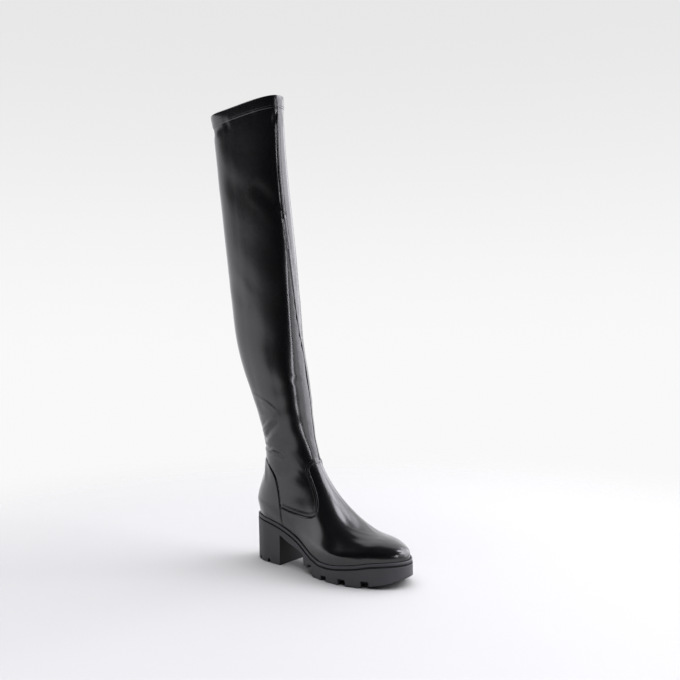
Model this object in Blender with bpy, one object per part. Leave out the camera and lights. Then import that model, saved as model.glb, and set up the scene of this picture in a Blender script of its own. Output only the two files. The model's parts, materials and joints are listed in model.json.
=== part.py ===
# Thigh high boot with block heel, right foot, built in metres with +X to the toe.
# Outer (lateral) side is -Y, inner (medial) side with the zip is +Y, +Z is up.
import bpy
import bmesh
import math
from mathutils import Vector
from mathutils.bvhtree import BVHTree

for old in list(bpy.data.objects):
    bpy.data.objects.remove(old, do_unlink=True)

# Named sizes
LENGTH = 0.250          # sole from heel back to toe tip
BALL = 0.094            # sole width across the ball of the foot
WALL = 0.0016           # upper material thickness
GAP = 0.0003            # clearance between separate pieces
RAND_H = 0.0038         # height of the rand strip
RAND_T = 0.0022         # thickness of the rand strip
GROOVE_H = 0.0018       # dark groove under the rand
GROOVE_IN = 0.0018      # how far the groove is set back
INSOLE_T = 0.0024
SIDE_PTS = 26           # stations down each side of a ring

# Sole plan: share of length, then half widths as shares of ball width.
PLAN = [
    # along, medial, lateral
    (0.000, 0.000, 0.000),
    (0.010, 0.110, 0.110),
    (0.030, 0.178, 0.178),
    (0.060, 0.232, 0.232),
    (0.120, 0.288, 0.292),
    (0.220, 0.306, 0.312),
    (0.350, 0.312, 0.340),
    (0.500, 0.362, 0.428),
    (0.620, 0.454, 0.492),
    (0.680, 0.486, 0.500),
    (0.780, 0.476, 0.458),
    (0.880, 0.376, 0.352),
    (0.940, 0.270, 0.256),
    (0.980, 0.150, 0.148),
    (1.000, 0.000, 0.000),
]

# Sole side: share of length, then heights as shares of length.
SIDE = [
    # along, groove line, underside
    (0.000, 0.236, 0.000),
    (0.120, 0.224, 0.000),
    (0.238, 0.2003, 0.000),
    (0.240, 0.1997, 0.158),
    (0.300, 0.180, 0.134),
    (0.380, 0.148, 0.108),
    (0.428, 0.123, 0.090),
    (0.434, 0.120, 0.042),
    (0.500, 0.088, 0.034),
    (0.507, 0.086, 0.002),
    (0.560, 0.072, 0.000),
    (0.620, 0.071, 0.000),
    (0.700, 0.079, 0.000),
    (0.790, 0.092, 0.000),
    (0.860, 0.106, 0.010),
    (0.940, 0.113, 0.028),
    (1.000, 0.116, 0.052),
]

# Front and back outline of the upper seen from the side, one row per ring.
# Positions along the foot and heights are shares of the sole length.
RINGS = [
    # back x, back z, front x, front z
    (0.009, 0.270, 0.986, 0.150),
    (0.000, 0.296, 0.978, 0.168),
    (-0.005, 0.328, 0.960, 0.185),
    (0.001, 0.362, 0.928, 0.198),
    (0.014, 0.398, 0.880, 0.208),
    (0.030, 0.438, 0.812, 0.220),
    (0.045, 0.478, 0.742, 0.238),
    (0.056, 0.520, 0.682, 0.266),
    (0.063, 0.562, 0.624, 0.306),
    (0.065, 0.606, 0.568, 0.358),
    (0.064, 0.652, 0.512, 0.418),
    (0.057, 0.700, 0.462, 0.488),
    (0.046, 0.748, 0.420, 0.564),
    (0.032, 0.798, 0.387, 0.648),
    (0.014, 0.850, 0.362, 0.738),
    (-0.008, 0.906, 0.344, 0.832),
    (-0.036, 0.968, 0.329, 0.932),
    (-0.070, 1.036, 0.315, 1.036),
    (-0.102, 1.108, 0.303, 1.116),
    (-0.128, 1.188, 0.294, 1.200),
    (-0.148, 1.284, 0.288, 1.300),
    (-0.166, 1.392, 0.282, 1.410),
    (-0.184, 1.504, 0.275, 1.524),
    (-0.200, 1.620, 0.265, 1.642),
    (-0.216, 1.740, 0.253, 1.764),
    (-0.234, 1.860, 0.239, 1.886),
    (-0.251, 1.984, 0.225, 2.012),
    (-0.268, 2.110, 0.212, 2.140),
    (-0.283, 2.232, 0.204, 2.270),
    (-0.297, 2.340, 0.199, 2.390),
    (-0.305, 2.420, 0.197, 2.462),
    (-0.311, 2.468, 0.196, 2.512),
]

# Leg and heel width by height: share of length, then half width as a share of ball width
# and the squareness of the section.
LEG = [
    # height, half width, squareness
    (0.20, 0.296, 2.2),
    (0.30, 0.292, 2.1),
    (0.38, 0.272, 2.0),
    (0.48, 0.256, 1.9),
    (0.60, 0.268, 1.9),
    (0.80, 0.312, 2.1),
    (1.00, 0.322, 2.3),
    (1.20, 0.306, 2.4),
    (1.60, 0.262, 2.6),
    (2.00, 0.226, 2.8),
    (2.50, 0.208, 2.8),
]


def clamp(v, lo=0.0, hi=1.0):
    return max(lo, min(hi, v))


def ease(v):
    v = clamp(v)
    return v * v * (3.0 - 2.0 * v)


def curve(rows, col, x):
    """Smooth value of one column of a table at x, with no overshoot between rows."""
    if x <= rows[0][0]:
        return rows[0][col]
    if x >= rows[-1][0]:
        return rows[-1][col]
    n = len(rows)
    k = 0
    while rows[k + 1][0] < x:
        k += 1

    def slope(i):
        return (rows[i + 1][col] - rows[i][col]) / (rows[i + 1][0] - rows[i][0])

    def tangent(i):
        if i == 0:
            return slope(0)
        if i == n - 1:
            return slope(n - 2)
        a, b = slope(i - 1), slope(i)
        if a * b <= 0.0:
            return 0.0
        return 2.0 * a * b / (a + b)

    h = rows[k + 1][0] - rows[k][0]
    t = (x - rows[k][0]) / h
    t2, t3 = t * t, t * t * t
    return ((2 * t3 - 3 * t2 + 1) * rows[k][col] + (t3 - 2 * t2 + t) * h * tangent(k)
            + (-2 * t3 + 3 * t2) * rows[k + 1][col] + (t3 - t2) * h * tangent(k + 1))


# The plan is smooth in the angle whose cosine runs along the foot, so the ends come out round.
PLAN_ANGLE = [(math.acos(1.0 - 2.0 * a), m, l) for a, m, l in PLAN]


def plan_point(angle, side):
    col = 1 if side > 0 else 2
    half = curve(PLAN_ANGLE, col, angle) * BALL
    return Vector((LENGTH * (1.0 - math.cos(angle)) / 2.0, side * half))


def plan_loop(inset, count):
    """Closed plan outline set in by a distance: medial side heel to toe, then back."""
    base = []
    for i in range(count):
        base.append(plan_point(math.pi * i / (count - 1), 1))
    for i in range(count - 2, 0, -1):
        base.append(plan_point(math.pi * i / (count - 1), -1))
    out = []
    n = len(base)
    for i in range(n):
        d = base[(i + 1) % n] - base[i - 1]
        d.normalize()
        out.append(base[i] + Vector((d.y, -d.x)) * inset)
    return out


def side_z(col, x):
    return curve(SIDE, col, x / LENGTH) * LENGTH


def mesh_object(name, verts, faces, mat, smooth=True):
    me = bpy.data.meshes.new(name)
    me.from_pydata([tuple(v) for v in verts], [], faces)
    me.materials.append(mat)
    ob = bpy.data.objects.new(name, me)
    bpy.context.collection.objects.link(ob)
    bm = bmesh.new()
    bm.from_mesh(me)
    bmesh.ops.recalc_face_normals(bm, faces=bm.faces)
    for f in bm.faces:
        f.smooth = smooth
    bm.to_mesh(me)
    bm.free()
    return ob


def material(name, color, rough, coat=0.0, metal=0.0):
    m = bpy.data.materials.new(name)
    m.use_nodes = True
    s = m.node_tree.nodes["Principled BSDF"]
    s.inputs["Base Color"].default_value = (*color, 1.0)
    s.inputs["Roughness"].default_value = rough
    s.inputs["Coat Weight"].default_value = coat
    s.inputs["Metallic"].default_value = metal
    return m


LEATHER = material("black smooth leather", (0.012, 0.012, 0.014), 0.32, 0.3)
RUBBER = material("black sole rubber", (0.040, 0.040, 0.043), 0.55)
LINING = material("dark lining", (0.030, 0.028, 0.027), 0.85)
TAPE = material("zip tape", (0.016, 0.016, 0.014), 0.75)
METAL = material("dark zip metal", (0.11, 0.105, 0.10), 0.35, 0.0, 1.0)


# Outsole with the heel block in one piece
EDGE_CUT = 0.0014       # cut edge round the walking face
LIP_CUT = 0.0005        # cut edge under the groove
HEEL_TAPER = 0.0006     # the heel's foot is this much narrower all round
HEEL_END = 0.060        # the heel's taper stops here along the foot

# Stations along the sole; close pairs make the flat heel breast and the step behind the ball.
SOLE_AT = [0.0, 0.006, 0.022, 0.05, 0.09, 0.14, 0.19, 0.2385, 0.2400, 0.265, 0.29, 0.315, 0.34,
           0.365, 0.39, 0.41, 0.428, 0.434, 0.455, 0.48, 0.500, 0.507, 0.53, 0.55, 0.575, 0.60, 0.635,
           0.67, 0.72, 0.77, 0.82, 0.865, 0.905, 0.94, 0.967, 0.986, 0.997, 1.0]


def sole_ring(inset, height, taper=0.0):
    """One ring round the sole: set in by a distance, at heights given by a function."""
    pts = []
    raw = []
    for a in SOLE_AT:
        raw.append(plan_point(math.acos(1.0 - 2.0 * a), 1))
    for a in reversed(SOLE_AT[1:-1]):
        raw.append(plan_point(math.acos(1.0 - 2.0 * a), -1))
    n = len(raw)
    for i in range(n):
        before, after = raw[i - 1], raw[(i + 1) % n]
        d = (after - before).normalized()
        x0 = raw[i].x
        p = raw[i] + Vector((d.y, -d.x)) * (inset + (taper if x0 < HEEL_END else 0.0))
        if 0.05 < x0 / LENGTH < 0.95:
            p.x = x0
        pts.append((p.x, p.y, height(p.x)))
    return pts


def build_outsole():
    def top(x):
        return side_z(1, x)

    def low(x):
        return side_z(2, x)

    rings = [
        sole_ring(EDGE_CUT, low, HEEL_TAPER),
        sole_ring(0.0, lambda x: low(x) + EDGE_CUT, HEEL_TAPER),
        sole_ring(0.0, lambda x: 0.5 * (low(x) + top(x)), HEEL_TAPER / 2),
        sole_ring(0.0, lambda x: top(x) - GROOVE_H - LIP_CUT),
        sole_ring(LIP_CUT, lambda x: top(x) - GROOVE_H),
        sole_ring(GROOVE_IN, lambda x: top(x) - GROOVE_H + LIP_CUT / 2),
        sole_ring(GROOVE_IN, top),
    ]
    verts, faces = [], []
    for r in rings:
        verts += r
    n = len(rings[0])
    for j in range(len(rings) - 1):
        for i in range(n):
            k = (i + 1) % n
            faces.append((j * n + i, j * n + k, (j + 1) * n + k, (j + 1) * n + i))
    half = len(SOLE_AT) - 1
    for base in (0, (len(rings) - 1) * n):
        for i in range(half):
            a, b = i, i + 1
            c, d = (n - b) % n, (n - a) % n
            ids = []
            for v in (a, b, c, d):
                if base + v not in ids:
                    ids.append(base + v)
            faces.append(tuple(ids))
    return mesh_object("outsole", verts, faces, RUBBER)


def cut_box(name, centre, size, turn):
    bpy.ops.mesh.primitive_cube_add(size=1.0, location=centre)
    ob = bpy.context.object
    ob.name = name
    me = ob.data
    c, s = math.cos(turn), math.sin(turn)
    for v in me.vertices:
        x, y, z = v.co.x * size[0], v.co.y * size[1], v.co.z * size[2]
        v.co = (c * x - s * y, s * x + c * y, z)
    ob.hide_render = True
    ob.display_type = 'WIRE'
    return ob


# Notches between the lugs: share of length, width, height and depth in metres.
CUT_BELOW = 0.008       # a cutter starts this far under the walking face
LUG_CUTS = [
    # along, width, height, depth
    (0.484, 0.0080, 0.0050, 0.012),
    (0.598, 0.0100, 0.0068, 0.012),
    (0.718, 0.0110, 0.0080, 0.012),
    (0.838, 0.0100, 0.0075, 0.012),
]
HEEL_CUTS = [(0.070, 0.0050, 0.0055, 0.008), (0.150, 0.0050, 0.0055, 0.008)]


def subtract(target, cutter):
    mod = target.modifiers.new("cut " + cutter.name, 'BOOLEAN')
    mod.operation = 'DIFFERENCE'
    mod.solver = 'EXACT'
    mod.object = cutter
    bpy.context.view_layer.objects.active = target
    bpy.ops.object.modifier_apply(modifier=mod.name)
    bpy.data.objects.remove(cutter, do_unlink=True)


outsole = build_outsole()
for at, wide, high, deep in LUG_CUTS + HEEL_CUTS:
    for side in (1, -1):
        angle = math.acos(1.0 - 2.0 * at)
        here = plan_point(angle, side)
        ahead = plan_point(angle + 0.05, side) - plan_point(angle - 0.05, side)
        turn = math.atan2(ahead.y, ahead.x)
        low = side_z(2, here.x)
        cutter = cut_box("lug cut", (here.x, here.y, low + (high - CUT_BELOW) / 2),
                         (wide, deep * 2, high + CUT_BELOW), turn)
        subtract(outsole, cutter)
for f in outsole.data.polygons:
    f.use_smooth = False


# Upper
UP0 = RAND_T + 0.0010           # plan inset of the upper's outer face at the feather line
BASE = 0.0006                   # upper and insole stand this far above the outsole's top
SEAT = 0.0005                   # the rand's foot stands this far above it


def feather_half(x, side):
    """Half width of the upper's outer face where it meets the sole."""
    lo, hi = FEATHER[side][0], FEATHER[side][-1]
    if x <= lo[0]:
        return 0.0
    if x >= hi[0]:
        return 0.0
    pts = FEATHER[side]
    k = 0
    while pts[k + 1][0] < x:
        k += 1
    t = (x - pts[k][0]) / max(pts[k + 1][0] - pts[k][0], 1e-9)
    return pts[k][1] * (1 - t) + pts[k + 1][1] * t


def make_feather():
    table = {}
    loop = plan_loop(UP0, 161)
    med = [(p.x, abs(p.y)) for p in loop[:161]]
    lat = [(loop[0].x, 0.0)] + [(p.x, abs(p.y)) for p in reversed(loop[161:])] + [
        (loop[160].x, 0.0)]
    for side, pts in ((1, med), (-1, lat)):
        keep = [pts[0]]
        for p in pts[1:]:
            if p[0] > keep[-1][0] + 1e-6:
                keep.append(p)
        table[side] = keep
    return table


FEATHER = make_feather()
X_BACK, X_TOE = FEATHER[1][0][0], FEATHER[1][-1][0]

RIDGE = [(X_TOE / LENGTH, SIDE[-1][1] + BASE / LENGTH)] + [(r[2], r[3]) for r in RINGS]
SPINE = [(r[1], r[0]) for r in RINGS]       # back of the upper: height, along
FRONT_Z = [(r[3], r[2]) for r in RINGS]     # front of the upper: height, along


def table_line(rows, v):
    if v <= rows[0][0]:
        return rows[0][1]
    for a, b in zip(rows, rows[1:]):
        if v <= b[0]:
            t = (v - a[0]) / max(b[0] - a[0], 1e-9)
            return a[1] * (1 - t) + b[1] * t
    return rows[-1][1]


RIDGE_X = sorted((x, z) for x, z in RIDGE)


def ridge_z(x):
    return table_line(RIDGE_X, x / LENGTH) * LENGTH


def foot_half(x, z, side):
    """Half width of the foot part, from a section across the foot."""
    floor = side_z(1, x) + BASE
    top = ridge_z(x)
    q = clamp((z - floor) / max(top - floor, 1e-5))
    bulge = 1.0 + 0.05 * math.sin(math.pi * clamp(q * 2.2))
    round_top = (1.0 - q ** 2.9) ** 0.50
    return feather_half(min(x, X_TOE - 1e-6), side) * bulge * round_top


def leg_half(x, z, side):
    """Half width of the heel and leg part, from a level section."""
    zz = z / LENGTH
    back = table_line(SPINE, zz) * LENGTH
    front = table_line(FRONT_Z, zz) * LENGTH
    half = curve(LEG, 1, zz) * BALL
    n = curve(LEG, 2, zz)
    # The widest place sits nearer the heel low down and in the middle of the leg higher up.
    mid = back + (front - back) * (0.32 + 0.16 * ease((zz - 0.3) / 0.5))
    if x < mid:
        e = (mid - x) / max(mid - back, 1e-6)
    else:
        e = (x - mid) / max(front - mid, 1e-6)
    return half * max(0.0, 1.0 - clamp(e) ** n) ** (1.0 / n)


RAND_CLEAR = RAND_H + BASE + GAP
LOW_BLEND = 0.014       # height over which the upper leaves the sole's outline
FOOT_FROM, FOOT_OVER = 0.36, 0.24       # the leg's section turns into the foot's from here on


def half_width(x, z, side):
    w_leg = leg_half(x, z, side)
    mix = ease((x / LENGTH - FOOT_FROM) / FOOT_OVER)
    w = w_leg
    if mix > 0.0:
        w = w_leg * (1 - mix) + foot_half(x, z, side) * mix
    floor = side_z(1, x) + BASE
    low = 1.0 - ease((z - floor - RAND_CLEAR) / LOW_BLEND)
    if low > 0.0 and X_BACK <= x <= X_TOE:
        w = w * (1 - low) + feather_half(x, side) * low
    return w


def ring_points(row, low_mix):
    """One ring round the upper: medial side from back to front, then lateral back again."""
    bx, bz, fx, fz = row
    lift_b = bz - side_z(1, bx) - BASE
    lift_f = fz - side_z(1, fx) - BASE
    out = []
    for side in (1, -1):
        steps = range(SIDE_PTS + 1) if side > 0 else range(SIDE_PTS - 1, 0, -1)
        for i in steps:
            s = (1.0 - math.cos(math.pi * i / SIDE_PTS)) / 2.0
            x = bx + (fx - bx) * s
            flat = bz + (fz - bz) * s
            along = side_z(1, x) + BASE + lift_b * (1 - s) + lift_f * s
            z = along * low_mix + flat * (1 - low_mix)
            w = 0.0 if i in (0, SIDE_PTS) else half_width(x, z, side)
            out.append(Vector((x, side * w, z)))
    return out


def upper_rings():
    rows = []
    for lift in (0.0, RAND_CLEAR):
        rows.append((X_BACK, side_z(1, X_BACK) + BASE + lift,
                     X_TOE, side_z(1, X_TOE) + BASE + lift))
    rows += [tuple(v * LENGTH for v in r) for r in RINGS]
    out = []
    for k, row in enumerate(rows):
        out.append(ring_points(row, 1.0 - ease((k - 1) / 9.0)))
    return out


def ring_normals(rings, j, i):
    n = len(rings[0])
    a = rings[j][(i + 1) % n] - rings[j][i - 1]
    up = rings[min(j + 1, len(rings) - 1)][i] - rings[max(j - 1, 0)][i]
    d = a.cross(up)
    d.normalize()
    return -d


COLLAR_STEP = 0.0007        # extra thickness of the collar band
COUNTER_STEP = 0.0006       # raised edge of the heel counter over the quarter
BAND_RINGS = 2              # rings that the collar band covers

# Front edge of the heel counter: height, then position along the foot, as shares of length.
COUNTER_EDGE = [(0.20, 0.246), (0.24, 0.236), (0.38, 0.228), (0.47, 0.195), (0.545, 0.120),
                (0.575, 0.020), (0.60, -0.100)]


def counter_front(z):
    """Front edge of the heel counter at a height, as a position along the foot."""
    return table_line(COUNTER_EDGE, z / LENGTH) * LENGTH


def build_upper():
    rings = upper_rings()
    n = len(rings[0])
    outer, inner = [], []
    for j, ring in enumerate(rings):
        orow, irow = [], []
        for i, p in enumerate(ring):
            d = ring_normals(rings, j, i)
            if j < 2:
                d = Vector((d.x, d.y, 0.0)).normalized()
            step = 0.0
            if j >= len(rings) - BAND_RINGS:
                step = COLLAR_STEP
            elif j >= 2 and p.x < counter_front(p.z):
                step = COUNTER_STEP
            orow.append(p + d * step)
            irow.append(p - d * WALL)
        outer.append(orow)
        inner.append(irow)
    verts = [p for row in outer for p in row] + [p for row in inner for p in row]
    off = n * len(rings)
    faces = []
    for j in range(len(rings) - 1):
        for i in range(n):
            k = (i + 1) % n
            a, b = j * n, (j + 1) * n
            faces.append((a + i, a + k, b + k, b + i))
            faces.append((off + a + i, off + b + i, off + b + k, off + a + k))
    last = (len(rings) - 1) * n
    for i in range(n):
        k = (i + 1) % n
        faces.append((i, off + i, off + k, k))
        faces.append((last + i, last + k, off + last + k, off + last + i))
    return mesh_object("upper", verts, faces, LEATHER), outer, inner


upper, OUT, INN = build_upper()


def flat_normal(loop, i):
    n = len(loop)
    d = loop[(i + 1) % n] - loop[i - 1]
    return Vector((d.y, -d.x, 0.0)).normalized()


def offset_loop(loop, dist):
    """Loop moved outward in plan, away from the middle line of the foot."""
    out = []
    for i, p in enumerate(loop):
        d = flat_normal(loop, i)
        mid = Vector((p.x, 0.0, 0.0)) if 0.03 < p.x < 0.21 else Vector((0.12, 0.0, 0.0))
        if d.dot(Vector((p.x, p.y, 0.0)) - mid) < 0.0:
            d = -d
        out.append(Vector((p.x, p.y, 0.0)) + d * dist)
    return out


def band(name, inside, outside, low, high, mat):
    """Closed strip with a rectangular section following the sole's edge."""
    n = len(inside)
    rows = []
    for pts, h in ((outside, low), (outside, high), (inside, high), (inside, low)):
        rows.append([(p.x, p.y, side_z(1, clamp(p.x, 0.0, LENGTH)) + h) for p in pts])
    verts = [v for r in rows for v in r]
    faces = []
    for j in range(4):
        a, b = j * n, ((j + 1) % 4) * n
        for i in range(n):
            k = (i + 1) % n
            faces.append((a + i, a + k, b + k, b + i))
    return mesh_object(name, verts, faces, mat)


rand = band("rand", offset_loop(OUT[0], GAP), offset_loop(OUT[0], GAP + RAND_T),
            SEAT, RAND_H, RUBBER)


def plate(name, loop, low, high, mat):
    n = len(loop)
    half = n // 2
    verts, faces = [], []
    for h in (low, high):
        verts += [(p.x, p.y, side_z(1, clamp(p.x, 0.0, LENGTH)) + h) for p in loop]
    for base in (0, n):
        for i in range(half):
            ids = []
            for v in (i, i + 1, (n - i - 1) % n, (n - i) % n):
                if base + v not in ids:
                    ids.append(base + v)
            faces.append(tuple(ids))
    for i in range(n):
        k = (i + 1) % n
        faces.append((i, k, n + k, n + i))
    return mesh_object(name, verts, faces, mat)


insole = plate("insole", offset_loop(INN[0], -GAP), BASE, BASE + INSOLE_T, LINING)

# Zip on the medial side: centre line by height, position along the foot and half width.
ZIP = [
    # height, along, half width, in shares of length
    (0.262, 0.262, 0.036),
    (0.400, 0.252, 0.036),
    (0.560, 0.236, 0.034),
    (0.760, 0.214, 0.031),
    (0.960, 0.186, 0.028),
    (1.140, 0.150, 0.025),
    (1.290, 0.112, 0.022),
    (1.372, 0.094, 0.020),
]
ZIP_ROWS = 26
tree = BVHTree.FromObject(upper, bpy.context.evaluated_depsgraph_get())


def on_upper(x, z):
    """Point and outward normal on the medial face of the upper at a side-view position."""
    hit, normal, index, dist = tree.ray_cast(Vector((x, 0.2, z)), Vector((0.0, -1.0, 0.0)))
    if normal.y < 0.0:
        normal = -normal
    return hit, normal


def zip_line(z):
    return curve(ZIP, 1, z / LENGTH) * LENGTH, curve(ZIP, 2, z / LENGTH) * LENGTH


def strip(name, z0, z1, rows, across, scale, low, high, mat):
    """Thin strip following the zip's line on the upper."""
    grid_in, grid_out = [], []
    for j in range(rows + 1):
        z = z0 + (z1 - z0) * j / rows
        xc, hw = zip_line(z)
        ri, ro = [], []
        for k in across:
            x = xc + k * (hw if scale is None else scale)
            p, nrm = on_upper(x, z)
            ri.append(p + nrm * low)
            ro.append(p + nrm * high)
        grid_in.append(ri)
        grid_out.append(ro)
    m = len(across)
    verts = [p for r in grid_in for p in r] + [p for r in grid_out for p in r]
    off = m * (rows + 1)
    faces = []
    for j in range(rows):
        for k in range(m - 1):
            a, b = j * m + k, (j + 1) * m + k
            faces.append((a, a + 1, b + 1, b))
            faces.append((off + a, off + b, off + b + 1, off + a + 1))
    for j in range(rows):
        for k in (0, m - 1):
            a, b = j * m + k, (j + 1) * m + k
            faces.append((a, b, off + b, off + a))
    for j in (0, rows):
        for k in range(m - 1):
            a = j * m + k
            faces.append((a, a + 1, off + a + 1, off + a))
    return mesh_object(name, verts, faces, mat)


TAPE_LOW, TAPE_HIGH = 0.0005, 0.0012     # the tape's faces over the upper
TEETH_LOW, TEETH_HIGH = 0.0016, 0.0028
TEETH_HALF = 0.0022
TEETH_FOOT, TEETH_TOP = 0.003, 0.012     # the teeth stop short of the tape's two ends
Z0, Z1 = ZIP[0][0] * LENGTH + 0.001, ZIP[-1][0] * LENGTH
zip_tape = strip("zip_tape", Z0, Z1, ZIP_ROWS, (-1.0, -0.6, -0.2, 0.2, 0.6, 1.0), None,
                 TAPE_LOW, TAPE_HIGH, TAPE)
zip_teeth = strip("zip_teeth", Z0 + TEETH_FOOT, Z1 - TEETH_TOP, ZIP_ROWS, (-1.0, 0.0, 1.0),
                  TEETH_HALF, TEETH_LOW, TEETH_HIGH, TAPE)


def frame_at(z):
    xc, hw = zip_line(z)
    p, nrm = on_upper(xc, z)
    xa = zip_line(z + 0.004)[0]
    q, other = on_upper(xa, z + 0.004)
    up = (q - p).normalized()
    across = up.cross(nrm).normalized()
    nrm = across.cross(up).normalized()
    return p, nrm, up, across


def block(name, origin, axes, prof, mat, at=None):
    """Solid from stacked rectangles along the zip; at is where its own origin goes."""
    nrm, up, across = axes
    at = at or origin
    verts, faces = [], []
    for t, hw, lo, hi in prof:
        for s, h in ((-1, lo), (1, lo), (1, hi), (-1, hi)):
            p = origin + up * t + across * (s * hw) + nrm * h
            verts.append(p - at)
    for j in range(len(prof) - 1):
        for k in range(4):
            a, b = j * 4 + k, j * 4 + (k + 1) % 4
            faces.append((a, b, b + 4, a + 4))
    faces.append((0, 1, 2, 3))
    e = (len(prof) - 1) * 4
    faces.append((e, e + 1, e + 2, e + 3))
    ob = mesh_object(name, verts, faces, mat, False)
    ob.location = at
    return ob


SLIDE_DOWN = 0.0065         # the slider sits this far below the tape's top
PIN_OUT, PIN_UP = 0.0061, 0.0005        # the pull's hinge pin, from the slider's place
# Sections of the slider and its pull: along the zip, half width, then the two faces' heights.
SLIDER = [(-0.0050, 0.0026, 0.0018, 0.0034), (-0.0036, 0.0036, 0.0017, 0.0046),
          (0.0010, 0.0040, 0.0017, 0.0048), (0.0044, 0.0032, 0.0017, 0.0038)]
PULL = [(0.0008, 0.0022, -0.0007, 0.0007), (-0.0010, 0.0030, -0.0007, 0.0008),
        (-0.0130, 0.0026, -0.0007, 0.0008), (-0.0190, 0.0034, -0.0007, 0.0008),
        (-0.0215, 0.0026, -0.0006, 0.0007)]
origin, nrm, up, across = frame_at(Z1 - SLIDE_DOWN)
axes = (nrm, up, across)
slider = block("zip_slider", origin, axes, SLIDER, METAL)
PIVOT = origin + nrm * PIN_OUT + up * PIN_UP
pull = block("pull_tab", PIVOT, axes, PULL, METAL, PIVOT)

# The frame's origin is the middle of the bounding box, on the floor.
bpy.context.view_layer.update()
solids = [outsole, rand, upper, insole, zip_tape, zip_teeth, slider, pull]
spots = [ob.matrix_world @ v.co for ob in solids for v in ob.data.vertices]
shift = Vector((-(min(p.x for p in spots) + max(p.x for p in spots)) / 2,
                -(min(p.y for p in spots) + max(p.y for p in spots)) / 2,
                -min(p.z for p in spots)))
for ob in solids:
    ob.location += shift
bpy.context.view_layer.update()
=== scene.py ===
import json
import math

import bmesh
import bpy
import numpy as np
from mathutils import Matrix, Vector


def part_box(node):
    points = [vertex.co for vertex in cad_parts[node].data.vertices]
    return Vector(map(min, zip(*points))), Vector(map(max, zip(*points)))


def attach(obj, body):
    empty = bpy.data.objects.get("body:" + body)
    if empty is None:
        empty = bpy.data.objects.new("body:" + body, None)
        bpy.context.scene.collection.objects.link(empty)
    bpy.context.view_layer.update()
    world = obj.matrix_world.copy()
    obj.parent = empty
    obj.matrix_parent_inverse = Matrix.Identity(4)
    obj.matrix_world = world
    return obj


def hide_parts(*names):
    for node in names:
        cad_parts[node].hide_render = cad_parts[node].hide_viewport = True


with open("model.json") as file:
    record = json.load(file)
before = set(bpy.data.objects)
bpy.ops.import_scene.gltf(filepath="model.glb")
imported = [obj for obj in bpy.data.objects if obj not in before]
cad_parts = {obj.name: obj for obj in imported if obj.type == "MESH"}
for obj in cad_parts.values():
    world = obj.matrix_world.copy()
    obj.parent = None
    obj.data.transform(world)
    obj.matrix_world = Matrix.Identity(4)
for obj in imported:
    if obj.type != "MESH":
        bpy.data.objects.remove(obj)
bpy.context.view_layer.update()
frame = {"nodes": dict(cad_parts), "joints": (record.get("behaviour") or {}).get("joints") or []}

# The last's own sizes, the same as the solids have, in metres
LENGTH = 0.250          # sole from heel back to toe tip
BALL = 0.094            # sole width across the ball of the foot
WALL = 0.0016           # upper material thickness
GAP = 0.0003            # clearance between separate pieces
RAND_H = 0.0038         # height of the rand strip
RAND_T = 0.0022         # thickness of the rand strip
GROOVE_H = 0.0018       # dark groove under the rand
GROOVE_IN = 0.0018      # how far the groove is set back
BASE = 0.0006           # the upper stands this far above the outsole's top
FEATHER_IN = RAND_T + 0.0010
RAND_CLEAR = RAND_H + BASE + GAP
LOW_BLEND = 0.014       # height over which the upper leaves the sole's outline

# Sole plan: share of length, then half widths as shares of ball width
PLAN = [
    # along, medial, lateral
    (0.000, 0.000, 0.000), (0.010, 0.110, 0.110), (0.030, 0.178, 0.178),
    (0.060, 0.232, 0.232), (0.120, 0.288, 0.292), (0.220, 0.306, 0.312),
    (0.350, 0.312, 0.340), (0.500, 0.362, 0.428), (0.620, 0.454, 0.492),
    (0.680, 0.486, 0.500), (0.780, 0.476, 0.458), (0.880, 0.376, 0.352),
    (0.940, 0.270, 0.256), (0.980, 0.150, 0.148), (1.000, 0.000, 0.000),
]

# Sole side: share of length, then heights as shares of length
SIDE = [
    # along, groove line, underside
    (0.000, 0.236, 0.000), (0.120, 0.224, 0.000), (0.238, 0.2003, 0.000),
    (0.240, 0.1997, 0.158), (0.300, 0.180, 0.134), (0.380, 0.148, 0.108),
    (0.428, 0.123, 0.090), (0.434, 0.120, 0.042), (0.500, 0.088, 0.034),
    (0.507, 0.086, 0.002), (0.560, 0.072, 0.000), (0.620, 0.071, 0.000),
    (0.700, 0.079, 0.000), (0.790, 0.092, 0.000), (0.860, 0.106, 0.010),
    (0.940, 0.113, 0.028), (1.000, 0.116, 0.052),
]

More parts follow.
